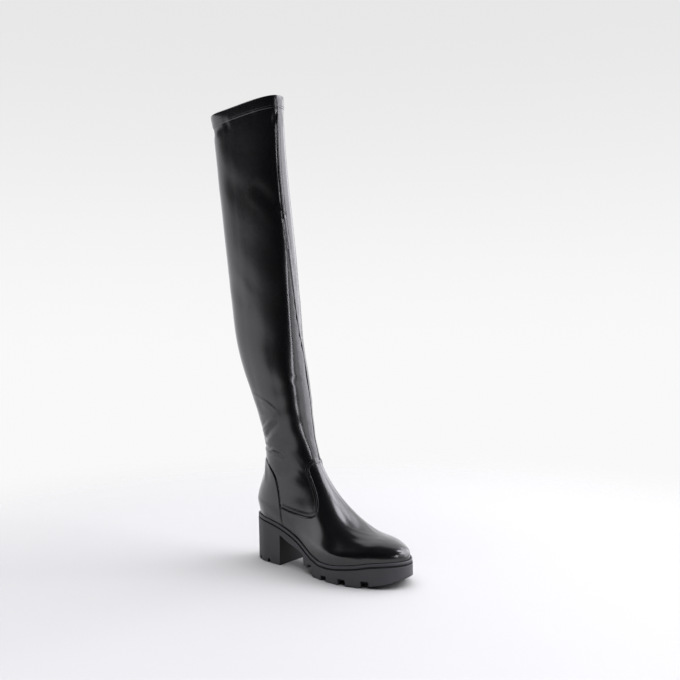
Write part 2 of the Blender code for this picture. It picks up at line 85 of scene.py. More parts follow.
# Outline of the upper seen from the side, one row per ring, as shares of the length
RINGS = [
    # back x, back z, front x, front z
    (0.009, 0.270, 0.986, 0.150), (0.000, 0.296, 0.978, 0.168),
    (-0.005, 0.328, 0.960, 0.185), (0.001, 0.362, 0.928, 0.198),
    (0.014, 0.398, 0.880, 0.208), (0.030, 0.438, 0.812, 0.220),
    (0.045, 0.478, 0.742, 0.238), (0.056, 0.520, 0.682, 0.266),
    (0.063, 0.562, 0.624, 0.306), (0.065, 0.606, 0.568, 0.358),
    (0.064, 0.652, 0.512, 0.418), (0.057, 0.700, 0.462, 0.488),
    (0.046, 0.748, 0.420, 0.564), (0.032, 0.798, 0.387, 0.648),
    (0.014, 0.850, 0.362, 0.738), (-0.008, 0.906, 0.344, 0.832),
    (-0.036, 0.968, 0.329, 0.932), (-0.070, 1.036, 0.315, 1.036),
    (-0.102, 1.108, 0.303, 1.116), (-0.128, 1.188, 0.294, 1.200),
    (-0.148, 1.284, 0.288, 1.300), (-0.166, 1.392, 0.282, 1.410),
    (-0.184, 1.504, 0.275, 1.524), (-0.200, 1.620, 0.265, 1.642),
    (-0.216, 1.740, 0.253, 1.764), (-0.234, 1.860, 0.239, 1.886),
    (-0.251, 1.984, 0.225, 2.012), (-0.268, 2.110, 0.212, 2.140),
    (-0.283, 2.232, 0.204, 2.270), (-0.297, 2.340, 0.199, 2.390),
    (-0.305, 2.420, 0.197, 2.462), (-0.311, 2.468, 0.196, 2.512),
]

# Leg and heel width by height, and the squareness of the level section
LEG = [
    # height, half width as a share of ball width, squareness
    (0.20, 0.296, 2.2), (0.30, 0.292, 2.1), (0.38, 0.272, 2.0), (0.48, 0.256, 1.9),
    (0.60, 0.268, 1.9), (0.80, 0.312, 2.1), (1.00, 0.322, 2.3), (1.20, 0.306, 2.4),
    (1.60, 0.262, 2.6), (2.00, 0.226, 2.8), (2.50, 0.208, 2.8),
]

COLUMNS = 768           # lattice columns round the last
BETWEEN = 24            # lattice rows between two rings
TURN = np.arange(COLUMNS) * 2.0 * math.pi / COLUMNS
NEAR = (-1, 0, 1, 2)    # the four lattice lines that a cubic reading uses


def ease(v):
    v = np.clip(v, 0.0, 1.0)
    return v * v * (3.0 - 2.0 * v)


def bell(v):
    return np.exp(-v * v)


def unit(v):
    return v / np.maximum(np.linalg.norm(v, axis=-1, keepdims=True), 1e-12)


def lengths(points):
    """Length of a line, or of many side by side, up to each of its points."""
    step = np.linalg.norm(np.diff(points, axis=0), axis=-1)
    return np.concatenate([np.zeros((1,) + step.shape[1:]), np.cumsum(step, 0)])


def smooth_table(rows, col, q):
    """Smooth values of one column of a table, with no overshoot between its rows."""
    xs, ys = (np.array([r[c] for r in rows], float) for c in (0, col))
    h = np.diff(xs)
    d = np.diff(ys) / h
    m = np.concatenate([d[:1], d[1:], d[-1:]])
    both, total = d[:-1] * d[1:], d[:-1] + d[1:]
    m[1:-1] = np.where(both > 0.0, 2.0 * both / np.where(total == 0.0, 1.0, total), 0.0)
    q = np.clip(q, xs[0], xs[-1])
    k = np.clip(np.searchsorted(xs, q, side="right") - 1, 0, len(xs) - 2)
    t = (q - xs[k]) / h[k]
    t2, t3 = t * t, t * t * t
    return ((2 * t3 - 3 * t2 + 1) * ys[k] + (t3 - 2 * t2 + t) * h[k] * m[k]
            + (-2 * t3 + 3 * t2) * ys[k + 1] + (t3 - t2) * h[k] * m[k + 1])


def smooth_line(points, between=8):
    """Smooth line through given points, or smooth surface through rings of them."""
    p = np.array(points, float)
    p = np.concatenate([[2 * p[0] - p[1]], p, [2 * p[-1] - p[-2]]])
    out = []
    for k in range(1, len(p) - 2):
        a, b, c, d = p[k - 1:k + 3]
        out += [0.5 * (2 * b + (c - a) * t + (2 * a - 5 * b + 4 * c - d) * t ** 2
                       + (3 * b - a - 3 * c + d) * t ** 3) for t in np.arange(between) / between]
    return np.array(out + [p[-2]])


PLAN_ANGLE = [(math.acos(1.0 - 2.0 * a), m, l) for a, m, l in PLAN]


def plan_side(angle, side):
    """Points of the sole's outline on one side, by the angle whose cosine runs along it."""
    half = smooth_table(PLAN_ANGLE, 1 if side > 0 else 2, angle) * BALL
    return np.stack([LENGTH * (1.0 - np.cos(angle)) / 2.0, side * half], -1)


def plan_loop(angles, inset):
    """Closed outline set in by a distance: medial side heel to toe, then lateral back."""
    base = np.concatenate([plan_side(angles, 1), plan_side(angles[-2:0:-1], -1)])
    ahead = unit(np.roll(base, -1, 0) - np.roll(base, 1, 0))
    return base + np.stack([ahead[:, 1], -ahead[:, 0]], -1) * np.reshape(inset, (-1, 1))


def side_z(col, x):
    return smooth_table(SIDE, col, x / LENGTH) * LENGTH


def bed_z(x):
    """Height at which the upper stands on the outsole."""
    return side_z(1, x) + BASE


def feather_tables():
    """Half width of the upper's edge on the sole, for each side, by the place along it."""
    n = 401
    loop = np.abs(plan_loop(np.linspace(0.0, math.pi, n), FEATHER_IN))
    tables = {}
    for side, pts in ((1, loop[:n]), (-1, np.concatenate([loop[:1], loop[n - 1:]]))):
        pts = pts[np.argsort(pts[:, 0])]
        pts[0, 1] = pts[-1, 1] = 0.0
        tables[side] = pts
    return tables


FEATHER = feather_tables()
X_BACK, X_TOE = FEATHER[1][0, 0], FEATHER[1][-1, 0]
RIDGE = sorted([(X_TOE / LENGTH, SIDE[-1][1] + BASE / LENGTH)] + [(r[2], r[3]) for r in RINGS])
SPINE = [(r[1], r[0]) for r in RINGS]
FRONT = [(r[3], r[2]) for r in RINGS]


def feather_half(x, side):
    return np.interp(x, FEATHER[side][:, 0], FEATHER[side][:, 1])


def foot_half(x, z, side):
    floor, top = bed_z(x), smooth_table(RIDGE, 1, x / LENGTH) * LENGTH
    q = np.clip((z - floor) / np.maximum(top - floor, 1e-5), 0.0, 1.0)
    bulge = 1.0 + 0.05 * np.sin(math.pi * np.clip(q * 2.2, 0.0, 1.0))
    return feather_half(np.minimum(x, X_TOE - 1e-6), side) * bulge * np.sqrt(1.0 - q ** 2.9)


def leg_half(x, z):
    zz = z / LENGTH
    back, front = (smooth_table(edge, 1, zz) * LENGTH for edge in (SPINE, FRONT))
    half, n = smooth_table(LEG, 1, zz) * BALL, smooth_table(LEG, 2, zz)
    mid = back + (front - back) * (0.32 + 0.16 * ease((zz - 0.3) / 0.5))
    e = np.where(x < mid, (mid - x) / np.maximum(mid - back, 1e-6),
                 (x - mid) / np.maximum(front - mid, 1e-6))
    return half * np.maximum(0.0, 1.0 - np.clip(e, 0.0, 1.0) ** n) ** (1.0 / n)


def half_width(x, z, side):
    mix = ease((x / LENGTH - 0.36) / 0.24)
    w = leg_half(x, z) * (1.0 - mix) + foot_half(x, z, side) * mix
    low = 1.0 - ease((z - bed_z(x) - RAND_CLEAR) / LOW_BLEND)
    low = np.where((x >= X_BACK) & (x <= X_TOE), low, 0.0)
    return w * (1.0 - low) + feather_half(x, side) * low


def ring(row, low_mix):
    """One ring round the last: medial side from back to front, then lateral back again."""
    bx, bz, fx, fz = row
    s = (1.0 - np.cos(TURN)) / 2.0
    x = bx + (fx - bx) * s
    along = bed_z(x) + (bz - bed_z(bx)) * (1.0 - s) + (fz - bed_z(fx)) * s
    z = along * low_mix + (bz + (fz - bz) * s) * (1.0 - low_mix)
    w = np.where(TURN < math.pi, half_width(x, z, 1), -half_width(x, z, -1))
    w[0] = w[COLUMNS // 2] = 0.0
    return np.stack([x, w, z], -1)


def last_lattice():
    """Points of the smooth last, rows from the sole's edge up to the collar."""
    rows = [(X_BACK, bed_z(X_BACK) + lift, X_TOE, bed_z(X_TOE) + lift)
            for lift in (0.0, RAND_CLEAR)]
    rows += [tuple(v * LENGTH for v in r) for r in RINGS]
    return smooth_line([ring(row, 1.0 - float(ease((k - 1) / 9.0)))
                        for k, row in enumerate(rows)], BETWEEN)


def lattice_normals(points):
    along = np.roll(points, -1, 1) - np.roll(points, 1, 1)
    return unit(np.cross(np.gradient(points, axis=0), along))


# Seams and creases are given as (height in mm, degrees round the leg): 0 is the back seam,
# 180 the front seam, and the outer side counts below zero.
COUNTER_LINE = [(143, 0), (141, -15), (136, -36), (127, -49), (115, -57), (95, -60), (78, -61)]
OUTER_TONGUE = [(78, -61), (74.5, -70), (71.5, -81), (72, -92), (77, -104), (87, -116),
                (99, -126), (115, -131), (130, -135), (137, -154), (138.5, -180)]
INNER_TONGUE = [(138.5, 180), (137, 156), (130, 136), (119, 122), (103, 112), (90, 108),
                (79, 101), (74, 90), (73, 78), (75, 66)]
ZIP_FOOT = [(75, 66), (90, 63), (105, 60), (116, 56)]
INNER_COUNTER = [(116, 56), (123, 46), (130, 32), (138, 14), (143, 0)]

# Creases: width and depth in mm, lean, then the line they follow. Positive depth is a trough,
# and a lean rolls the leather up on the line's left side.
CREASES = [
    # outer side of the ankle: two rolled-up crests with a fold under the lower one
    (2.4, -0.42, 0.0, [(229, -40), (224, -64), (218, -85), (212, -98), (206, -106)]),
    (5.0, 0.5, 0.0, [(213, -56), (207, -74), (201, -90)]),
    (2.4, -0.35, 0.0, [(172, 14), (172, -14), (178, -42), (189, -76), (195, -92), (198, -102)]),
    (4.2, 1.0, 0.3, [(160, 18), (160, -14), (167, -44), (180, -78), (188, -98), (191, -108)]),
    (2.6, -0.8, 0.0, [(149, -12), (151, -40), (151, -59), (149, -72), (146, -90)]),
    (2.6, 0.9, 0.3, [(158, -10), (156, -34), (155, -52), (157, -66)]),
    (2.4, -0.7, 0.0, [(165, -20), (164, -34), (160, -46)]),
    # fullness at the top of the heel counter
    (5.0, -0.7, 0.0, [(140, -14), (132, -24), (120, -31), (106, -35)]),
    # fullness of the ankle inside the tongue seam
    (9.0, -0.25, 0.0, [(104, -62), (107, -84), (106, -100), (100, -118)]),
    # the shin's outer edge
    (9.0, -0.8, 0.0, [(400, -164), (350, -166), (313, -171), (280, -178), (225, 178), (150, 176)]),
    # outer side of the shaft
    (9.0, 0.7, 0.3, [(462, -172), (476, -150), (494, -128), (512, -106)]),
    (3.2, 0.9, 0.5, [(464, -174), (470, -160), (477, -148)]),
    (4.4, 0.35, 0.2, [(254, -146), (248, -160), (243, -172)]),
    (10.0, 0.5, 0.2, [(392, -28), (384, -46), (366, -62), (344, -80)]),
    (14.0, 0.25, 0.2, [(556, -36), (530, -58), (500, -84)]),
    # under the collar band
    (3.0, 0.8, 0.0, [(606, -163), (597, -161), (588, -158)]),
    (3.2, 1.3, 0.0, [(606, 164), (597, 162), (586, 158)]),
    (4.0, 0.8, 0.0, [(603, -6), (596, -14), (586, -24)]),
    (4.5, 0.35, 0.0, [(608, -66), (600, -68), (588, -72)]),
    (4.5, 0.3, 0.0, [(609, -118), (601, -116), (590, -113)]),
    (3.6, 0.7, 0.0, [(604, 20), (596, 26), (584, 33)]),
    (4.0, 0.6, 0.0, [(608, 92), (599, 90), (588, 86)]),
    # inner side, round the zip
    (5.0, 2.2, 0.6, [(335, 112), (343, 121), (352, 133), (360, 150)]),
    (3.4, 1.5, 0.5, [(330, 112), (326, 122), (330, 136)]),
    (4.6, 2.0, 0.6, [(203, 78), (199, 60), (186, 36), (176, 18)]),
    (4.0, 1.6, 0.5, [(187, 80), (180, 66), (166, 44)]),
    (3.8, 1.6, 0.6, [(157, 68), (155, 50), (149, 26)]),
    (3.2, 1.2, 0.5, [(141, 64), (138, 50), (136, 34)]),
    (4.6, 1.8, 0.6, [(213, 108), (213, 124), (210, 138), (205, 148)]),
    (4.0, 1.5, 0.5, [(181, 106), (180, 122), (176, 142)]),
    (4.0, 1.4, 0.4, [(152, 96), (149, 110), (152, 132)]),
    (5.0, 1.2, 0.3, [(286, 116), (291, 130), (288, 144)]),
    (5.0, 1.0, 0.3, [(256, 84), (262, 64), (258, 40)]),
    (8.0, 1.0, 0.2, [(300, 84), (306, 60), (300, 34)]),
    (6.0, 0.9, 0.2, [(410, 110), (424, 84), (430, 60)]),
]

# The front seam wanders from the outer side at the knee to the inner side at the ankle
FRONT_SEAM = [(612, -174), (560, -170), (500, -168), (430, -172), (367, -177), (313, 178),
              (286, 172), (219, 168), (166, 166), (141, 168)]

# Puckers beside the zip: how often along it, and how high in metres
PUCKER_PITCH = 0.0125
PUCKER_HIGH = 0.00045


def blurred(grid, across_rows, across_columns):
    """A lattice grid averaged over its neighbours."""
    for axis, reach in ((0, across_rows), (1, across_columns)) * 2:
        ends = [(0, 0)] * grid.ndim
        ends[axis] = (reach + 1, reach)
        run = np.cumsum(np.pad(grid, ends, mode='edge' if axis == 0 else 'wrap'), axis)
        at = np.arange(grid.shape[axis])
        grid = (np.take(run, at + 2 * reach + 1, axis) - np.take(run, at, axis)) / (2 * reach + 1)
    return grid


def evened_waist(points):
    """The last with the side of its waist made even, where leg and foot run together."""
    x, z = points[..., 0], points[..., 2]
    share = (ease((z - bed_z(x) - 0.003) / 0.007) * (1.0 - ease((z - 0.105) / 0.03))
             * ease((x - 0.045) / 0.02) * (1.0 - ease((x - 0.15) / 0.03)))
    return points + (blurred(points, 20, 12) - points) * share[..., None]


def cubic(t):
    """Weights of four neighbours for a reading between the middle two."""
    return (-0.5 * t + t * t - 0.5 * t ** 3, 1 - 2.5 * t * t + 1.5 * t ** 3,
            0.5 * t + 2 * t * t - 1.5 * t ** 3, -0.5 * t * t + 0.5 * t ** 3)


class Last:
    """The boot's outer face as a fine lattice that can be read anywhere on it."""

    def __init__(self):
        self.base = self.points = evened_waist(last_lattice())
        self.flat_normals = self.normals = lattice_normals(self.base)
        self.rows = len(self.base)

    def press(self, lift):
        self.points = self.base + self.flat_normals * lift[..., None]
        self.normals = lattice_normals(self.points)

    def path(self, marks):
        """Lattice rows and columns of a smooth line through (height, degrees) marks."""
        rough = []
        for (height, _), a in zip(marks, np.unwrap(np.radians([m[1] for m in marks]))):
            column = math.degrees(a) / 360.0 * COLUMNS
            heights = self.base[:, round(column) % COLUMNS, 2]
            rough.append((np.interp(height / 1000.0, heights, np.arange(self.rows)), column))
        return smooth_line(rough)

    def read(self, grid, row, column):
        """Cubic reading of a lattice grid; rows past the collar go straight on."""
        row, column = np.asarray(row, float), np.asarray(column, float)
        over = np.maximum(row - (self.rows - 1), 0.0)
        r = np.clip(row, 0.0, self.rows - 1.0)
        j = np.clip(np.floor(r).astype(int), 0, self.rows - 2)
        i = np.floor(column).astype(int)
        across = list(zip(NEAR, cubic((column - i)[..., None])))
        out = 0.0
        for dj, weight in zip(NEAR, cubic((r - j)[..., None])):
            jj = np.clip(j + dj, 0, self.rows - 1)
            out = out + weight * sum(w * grid[jj, (i + di) % COLUMNS] for di, w in across)
        if np.any(over > 0.0):
            out = out + (grid[-1, i % COLUMNS] - grid[-2, i % COLUMNS]) * over[..., None]
        return out

    def at(self, row, column, lift=0.0):
        """Points on the pressed leather, or lifted off it."""
        n = unit(self.read(self.normals, row, column))
        return self.read(self.points, row, column) + n * np.asarray(lift)[..., None]

    def beside(self, path, aside):
        """A lattice path moved over the surface, to its left seen from outside, in metres."""
        row, col = path.T
        by_row = self.read(self.points, row + 0.5, col) - self.read(self.points, row - 0.5, col)
        by_col = self.read(self.points, row, col + 0.5) - self.read(self.points, row, col - 0.5)
        ahead = np.gradient(self.read(self.points, row, col), axis=0)
        left = unit(np.cross(unit(np.cross(by_row, by_col)), ahead))
        aa, bb, ab, al, bl = ((u * v).sum(1) for u, v in (
            (by_row, by_row), (by_col, by_col), (by_row, by_col), (by_row, left), (by_col, left)))
        det = np.maximum(aa * bb - ab * ab, 1e-18)
        move = np.stack([(al * bb - bl * ab) / det, (bl * aa - al * ab) / det], 1)
        return path + move * np.broadcast_to(aside, len(path))[:, None]


def line_distance(points, normals, line, reach):
    """Points near a line: which ones, how far, on which side, and how far along it."""
    near = np.nonzero(((points >= line.min(0) - reach)
                       & (points <= line.max(0) + reach)).all(1))[0]
    q = points[near]
    best, side, along = np.full(len(near), 1e9), np.zeros(len(near)), np.zeros(len(near))
    for k in range(len(line) - 1):
        a, ab = line[k], line[k + 1] - line[k]
        t = np.clip(((q - a) @ ab) / (ab @ ab), 0.0, 1.0)
        d = q - (a + t[:, None] * ab)
        far = np.linalg.norm(d, axis=1)
        closer = far < best
        best = np.where(closer, far, best)
        side = np.where(closer, np.sign((np.cross(normals[near], ab) * d).sum(1)), side)
        along = np.where(closer, (k + t) / (len(line) - 1), along)
    keep = best < reach
    return near[keep], best[keep], side[keep], along[keep]


boot = Last()


def near_on_last(line, reach):
    """The whole last's points near a lattice line, as line_distance gives them."""
    return line_distance(boot.base.reshape(-1, 3), boot.flat_normals.reshape(-1, 3),
                         boot.read(boot.base, *line.T), reach)


def pressed_creases():
    """Lift of the leather in metres over the whole lattice, from the placed creases."""
    lift = np.zeros(boot.base[..., 0].size)
    for width, depth, lean, marks in CREASES:
        w, d = width / 1000.0, depth / 1000.0
        near, far, side, along = near_on_last(boot.path(marks), w * 4.0)
        fade = np.clip(np.sin(math.pi * along), 0.0, 1.0) ** 0.6
        x = far * side / w
        trough = -bell(x) + 0.35 * bell((np.abs(x) - 1.7) / 0.8)
        roll = x * np.exp(0.5 - 0.5 * (x * 1.15) ** 2)
        lift[near] += d * fade * (trough * (1.0 - 0.5 * lean) + roll * lean * 0.8)
    near, far, _, _ = near_on_last(boot.path(FRONT_SEAM), 0.012)
    front = np.zeros(len(lift))
    front[near] = 0.0007 * bell(far / 0.0040) - 0.0008 * bell((far - 0.0022) / 0.0007)
    return (lift + front).reshape(boot.base.shape[:2])


def slack_leather():
    """Broad slackness of the shaft and the ankle, the back seam and the collar's flare."""
    x, y, z = boot.base[..., 0], boot.base[..., 1], boot.base[..., 2]
    slack = ease((z - 0.13) / 0.10) * (1.0 - 0.6 * ease((z - 0.50) / 0.10))
    wave = (np.sin(z * 61.0 + 2.2 * TURN + 0.6) + 0.8 * np.sin(z * 97.0 - 3.1 * TURN + 2.0)
            + 0.6 * np.sin(z * 37.0 + 5.0 * TURN))
    ripple = (np.sin(z * 240.0 + 3.0 * TURN + x * 60.0)
              + 0.7 * np.sin(z * 170.0 - 4.0 * TURN))
    back = np.where(np.cos(TURN) > 0.8, 1.0, 0.0) * ease((z - 0.146) / 0.01)
    # the collar stands out a little at its heel end, with a slight pinch under it
    down = boot.base[-1, :, 2] - z
    flare = 0.0016 * ease(1.0 - down / 0.016) - 0.0007 * bell((down - 0.023) / 0.007)
    return (slack * 0.00010 * wave + bell((z - 0.185) / 0.05) * 0.00015 * ripple
            + back * (0.0008 * bell(y / 0.0030) - 0.0011 * bell(y / 0.0006))
            + flare * ease((np.cos(TURN) - 0.2) / 0.6))


LEG_FULL, LEG_FULL_AT, LEG_FULL_TALL = 0.0022, 0.235, 0.075
SHAFT_FULL = 0.0011
SIDE_FULL, SIDE_FULL_AT, SIDE_FULL_WIDE = 0.0020, 0.016, 0.011


def fullness():
    """Fullness of the leg at its back and over the shin, and of the foot's sides."""
    turn = np.cos(TURN)
    x, z = boot.base[..., 0], boot.base[..., 2]
    leg = LEG_FULL * bell((z - LEG_FULL_AT) / LEG_FULL_TALL)
    back = (leg + SHAFT_FULL * ease((z - 0.27) / 0.08)) * ease((turn - 0.3) / 0.5)
    sides = (SIDE_FULL * bell((z - bed_z(x) - SIDE_FULL_AT) / SIDE_FULL_WIDE)
             * ease((x - 0.085) / 0.04) * (1.0 - ease((x - 0.205) / 0.03)))
    return back + leg * ease((-turn - 0.4) / 0.5) + sides


# Zip on the inner side: height, position along the foot and half width, as shares of length
ZIP = [
    (0.262, 0.262, 0.036), (0.400, 0.252, 0.036), (0.560, 0.236, 0.034), (0.760, 0.214, 0.031),
    (0.960, 0.186, 0.028), (1.140, 0.150, 0.025), (1.290, 0.112, 0.022), (1.372, 0.094, 0.020),
]


def zip_path():
    """Lattice path of the zip's middle, from the sole up, and its half width in metres."""
    heights = np.linspace(ZIP[0][0] + 0.004, ZIP[-1][0], 140)
    xs, half = (smooth_table(ZIP, col, heights) * LENGTH for col in (1, 2))
    medial = boot.base[:, :COLUMNS // 2]
    path = []
    for x, z in zip(xs, heights * LENGTH):
        gap = (medial[..., 0] - x) ** 2 + (medial[..., 2] - z) ** 2
        path.append(np.unravel_index(np.argmin(gap), gap.shape))
    path = np.array(path, float)
    ends = np.concatenate([2 * path[0] - path[4:0:-1], path, 2 * path[-1] - path[-2:-6:-1]])
    return np.stack([np.convolve(c, np.ones(9) / 9.0, "valid") for c in ends.T], 1), half


ZIP_LINE, ZIP_HALF = zip_path()


def zip_bed():
    """The leather drawn up in small puckers along both edges of the zip."""
    line = boot.read(boot.base, *ZIP_LINE.T)
    near, far, side, along = near_on_last(ZIP_LINE[::3], 0.034)
    lift = np.zeros(boot.base[..., 0].size)
    out = far - np.interp(along, np.linspace(0.0, 1.0, len(ZIP_HALF)), ZIP_HALF)
    phase = along * lengths(line)[-1] / PUCKER_PITCH * 2.0 * math.pi + side * 1.3
    strong = 0.35 + 0.65 * np.sin(along * 11.0 + side * 0.9) ** 2
    fade = np.clip(np.sin(math.pi * np.clip(along * 1.04, 0.0, 1.0)), 0.0, 1.0) ** 0.5
    ripple = np.sin(phase + 1.6 * np.sin(phase * 0.37))
    lift[near] += (PUCKER_HIGH * ripple * strong * bell((out - 0.006) / 0.006) * fade
                   + 0.0007 * bell((out - 0.004) / 0.004) * fade - 0.0005 * (out < 0.0) * fade)
    return lift.reshape(boot.base.shape[:2])


boot.press(pressed_creases() + slack_leather() + fullness() + zip_bed())
SHIFT = np.array([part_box("outsole")[0].x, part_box("outsole")[0].y + PLAN[9][2] * BALL, 0.0])


def choose(*pieces):
    """Selects these pieces alone, in object mode, with the first one active."""
    if bpy.context.object and bpy.context.object.mode != 'OBJECT':
        bpy.ops.object.mode_set(mode='OBJECT')
    bpy.ops.object.select_all(action='DESELECT')
    for piece in pieces:
        piece.select_set(True)
    if pieces:
        bpy.context.view_layer.objects.active = pieces[0]


def started(name, primitive, **sizes):
    """A new primitive, and nothing else selected."""
    choose()
    primitive(**sizes)
    piece = bpy.context.object
    piece.name = name
    return piece


def sized_cube(name, size, place=(0.0, 0.0, 0.0)):
    piece = started(name, bpy.ops.mesh.primitive_cube_add, size=1.0)
    for v in piece.data.vertices:
        v.co = v.co * Vector(size) + Vector(place)
    return piece


def edited(piece, *steps):
    """Runs mesh operators on the whole of a piece in edit mode."""
    choose(piece)
    bpy.ops.object.mode_set(mode='EDIT')
    bpy.ops.mesh.select_all(action='SELECT')
    for step, settings in steps:
        step(**settings)
    bpy.ops.object.mode_set(mode='OBJECT')


def bevel_all(piece, offset, segments):
    edited(piece, (bpy.ops.mesh.bevel, dict(offset=offset, segments=segments, affect='EDGES')))


def joined(name, pieces):
    choose(*pieces)
    bpy.ops.object.join()
    pieces[0].name = name
    return pieces[0]


def opened(piece):
    bm = bmesh.new()
    bm.from_mesh(piece.data)
    return bm


def closed(bm, piece, outwards=True):
    """Writes a piece's mesh back, with its faces turned outwards."""
    if outwards:
        bmesh.ops.recalc_face_normals(bm, faces=bm.faces)
    bm.to_mesh(piece.data)
    bm.free()


def grid_sheet(name, points, outward):
    """A grid primitive whose vertices are laid on the last; outward is one vector per point."""
    rows, cols = points.shape[:2]
    piece = started(name, bpy.ops.mesh.primitive_grid_add, x_subdivisions=cols - 1,
                    y_subdivisions=rows - 1, size=1.0)
    me = piece.data
    me.vertices.foreach_set("co", (points + SHIFT).astype(np.float32).ravel())
    me.update()
    middle = me.polygons[(rows // 2) * (cols - 1) + cols // 3]
    if middle.normal.dot(Vector(outward[rows // 2, cols // 3])) < 0.0:
        me.flip_normals()
    bm = opened(piece)
    bmesh.ops.remove_doubles(bm, verts=bm.verts, dist=2e-6)
    bmesh.ops.dissolve_degenerate(bm, edges=bm.edges, dist=1e-7)
    closed(bm, piece, False)
    me.shade_smooth()
    return piece


def finish_piece(piece, body, slot, finish, *nodes):
    piece.data.materials.clear()
    piece.data.materials.append(finish)
    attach(piece, body)
    if nodes:
        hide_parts(*nodes)


def chained(*lines):
    """Lattice lines set end to end, with a corner where two meet."""
    out = [lines[0]]
    for line in lines[1:]:
        turns = round((out[-1][-1, 1] - line[0, 1]) / COLUMNS)
        out.append(line + (0.0, turns * COLUMNS))
    return np.concatenate(out)


def joined_line(*runs):
    return chained(*(boot.path(run) for run in runs))


def to_sole(run):
    """A run of marks that ends exactly on the sole's edge."""
    line = boot.path(run)
    first = line[0, 0]
    line[:, 0] = first + (line[:, 0] - first) * (-first / (line[-1, 0] - first))
    return line


def even_line(line, count):
    """A lattice line at even steps of its length in space."""
    far = lengths(boot.read(boot.base, *line.T))
    want = np.linspace(0.0, far[-1], count)
    return np.stack([np.interp(want, far, c) for c in line.T], 1)


def level_line(row, start, end, count):
    """Lattice line along one row between two columns."""
    return even_line(np.stack([np.full(600, float(row)), np.linspace(start, end, 600)], 1), count)


def round_leg(row, count):
    """Lattice line right round the leg; it runs towards the toe on the outer side."""
    return level_line(row, 0.0, -float(COLUMNS), count)


def between_lines(low, high, shares, lead=1.0):
    """Lattice rows and columns of a patch whose columns run from one line to another; a lead
    above 1 turns them towards the second line early on."""
    fine = np.linspace(0.0, 1.0, 160)[:, None]
    row = low[:, 0] + (high[:, 0] - low[:, 0]) * fine
    col = low[:, 1] + (high[:, 1] - low[:, 1]) * (1.0 - (1.0 - fine) ** lead)
    far = lengths(boot.read(boot.base, row, col))
    return [np.array([np.interp(shares * f[-1], f, g) for f, g in zip(far.T, grid.T)]).T
            for grid in (row, col)]


def far_from(points, line, reach):
    """Distance of each point of a grid from a lattice line on the pressed last."""
    flat = points.reshape(-1, 3)
    out = np.full(len(flat), reach)
    near, far, _, _ = line_distance(flat, flat, boot.at(*line.T), reach)
    out[near] = far
    return out.reshape(points.shape[:2])


SEAM_DEEP = 0.0016      # depth of the drawn-in seam round the counter
SEAM_WIDE = 0.0021      # how far from the seam the leather starts to turn in
TONGUE_HIGH = 0.0005    # thickness of the tongue's edge over the vamp
TONGUE_FADE = 0.007     # over this distance the tongue settles onto the ankle
COUNTER_HIGH = 0.0003   # thickness of the heel counter over its edge
LINING_IN = 0.0023      # depth of the lining under the leather's outer face
TOP_ROW = boot.rows - 1.0
QUARTER = (0, 22, 45, 68, 90)
SIDE_SEAM = [(78, -61), (66, -60), (54, -59), (48, -59)]
INNER_SEAM = [(75, 66), (66, 63), (58, 61.5), (46, 61)]
TONGUE_EDGE = joined_line(OUTER_TONGUE, INNER_TONGUE)
COUNTER_EDGE = joined_line(ZIP_FOOT, INNER_COUNTER, COUNTER_LINE)
RECESS_LINES = [boot.path(COUNTER_LINE), to_sole(SIDE_SEAM), boot.path(INNER_COUNTER),
                boot.path(OUTER_TONGUE[:6]), boot.path(INNER_TONGUE[5:])]


def lay(name, row, col, lift):
    return grid_sheet(name, boot.at(row, col, lift), boot.read(boot.normals, row, col))


def rounding(radius, turns):
    """A rounded edge as pairs of (in, down), at turns given in degrees."""
    return [(radius * (1 - math.cos(a)), radius * (1 - math.sin(a))) for a in np.radians(turns)]


def recess(points):
    """The leather drawn in towards the seams."""
    lift = np.zeros(points.shape[:2])
    for line in RECESS_LINES:
        near = np.clip(1.0 - far_from(points, line, 0.006) / SEAM_WIDE, 0.0, 1.0)
        lift = np.minimum(lift, -SEAM_DEEP * near ** 2)
    return lift


def rimmed(row, col, lift, line, rims, below=False):
    """A patch with rows added past one edge, each moved aside from it and lifted."""
    for aside, lifted in rims:
        moved = boot.beside(line, aside)
        added = np.maximum(moved[:, 0], 0.0), moved[:, 1], lifted
        row, col, lift = (np.vstack([new, old] if below else [old, new])
                          for old, new in zip((row, col, lift), added))
    return row, col, lift


def build_shaft():
    """The shaft down to the tongue and the counter, its edge turned down in a small round."""
    low = even_line(joined_line(COUNTER_LINE, OUTER_TONGUE, INNER_TONGUE, ZIP_FOOT,
                                INNER_COUNTER), 256)
    shares = np.linspace(0.0, 1.0, 352)
    row, col = between_lines(low, round_leg(TOP_ROW, 256),
                             0.72 * shares + 0.28 * shares ** 2.2, 1.6)
    pts = boot.read(boot.points, row, col)
    settled = ease(far_from(pts, TONGUE_EDGE, 0.03) / TONGUE_FADE)
    lift = recess(pts) + TONGUE_HIGH * (1.0 - settled)
    rim = lift[0]
    edge = 0.0005 * np.clip(rim / TONGUE_HIGH, 0.0, 1.0)
    under = [(-edge * math.sin(a), rim - edge * (1.0 - math.cos(a)))
             for a in np.radians((20.0, 45.0, 70.0, 90.0))]
    under.append((-edge, np.minimum(rim - 0.0004, -0.0005)))
    return lay("shaft", *rimmed(row, col, lift, low, under, below=True))


def sole_patch(name, edge, cols, rows, rim, raised=0.0):
    """Leather from the sole up to an edge, with a rim tucked under the next piece."""
    high = even_line(edge, cols)
    low = level_line(0.0, high[0, 1], high[-1, 1], cols)
    row, col = between_lines(low, high, np.linspace(0.0, 1.0, rows))
    pts = boot.read(boot.points, row, col)
    lift = recess(pts) + raised * ease(far_from(pts, RECESS_LINES[0], 0.02) / 0.004)
    rims = [(aside, lift[-1] - drop) for aside, drop in rim]
    return lay(name, *rimmed(row, col, lift, high, rims))


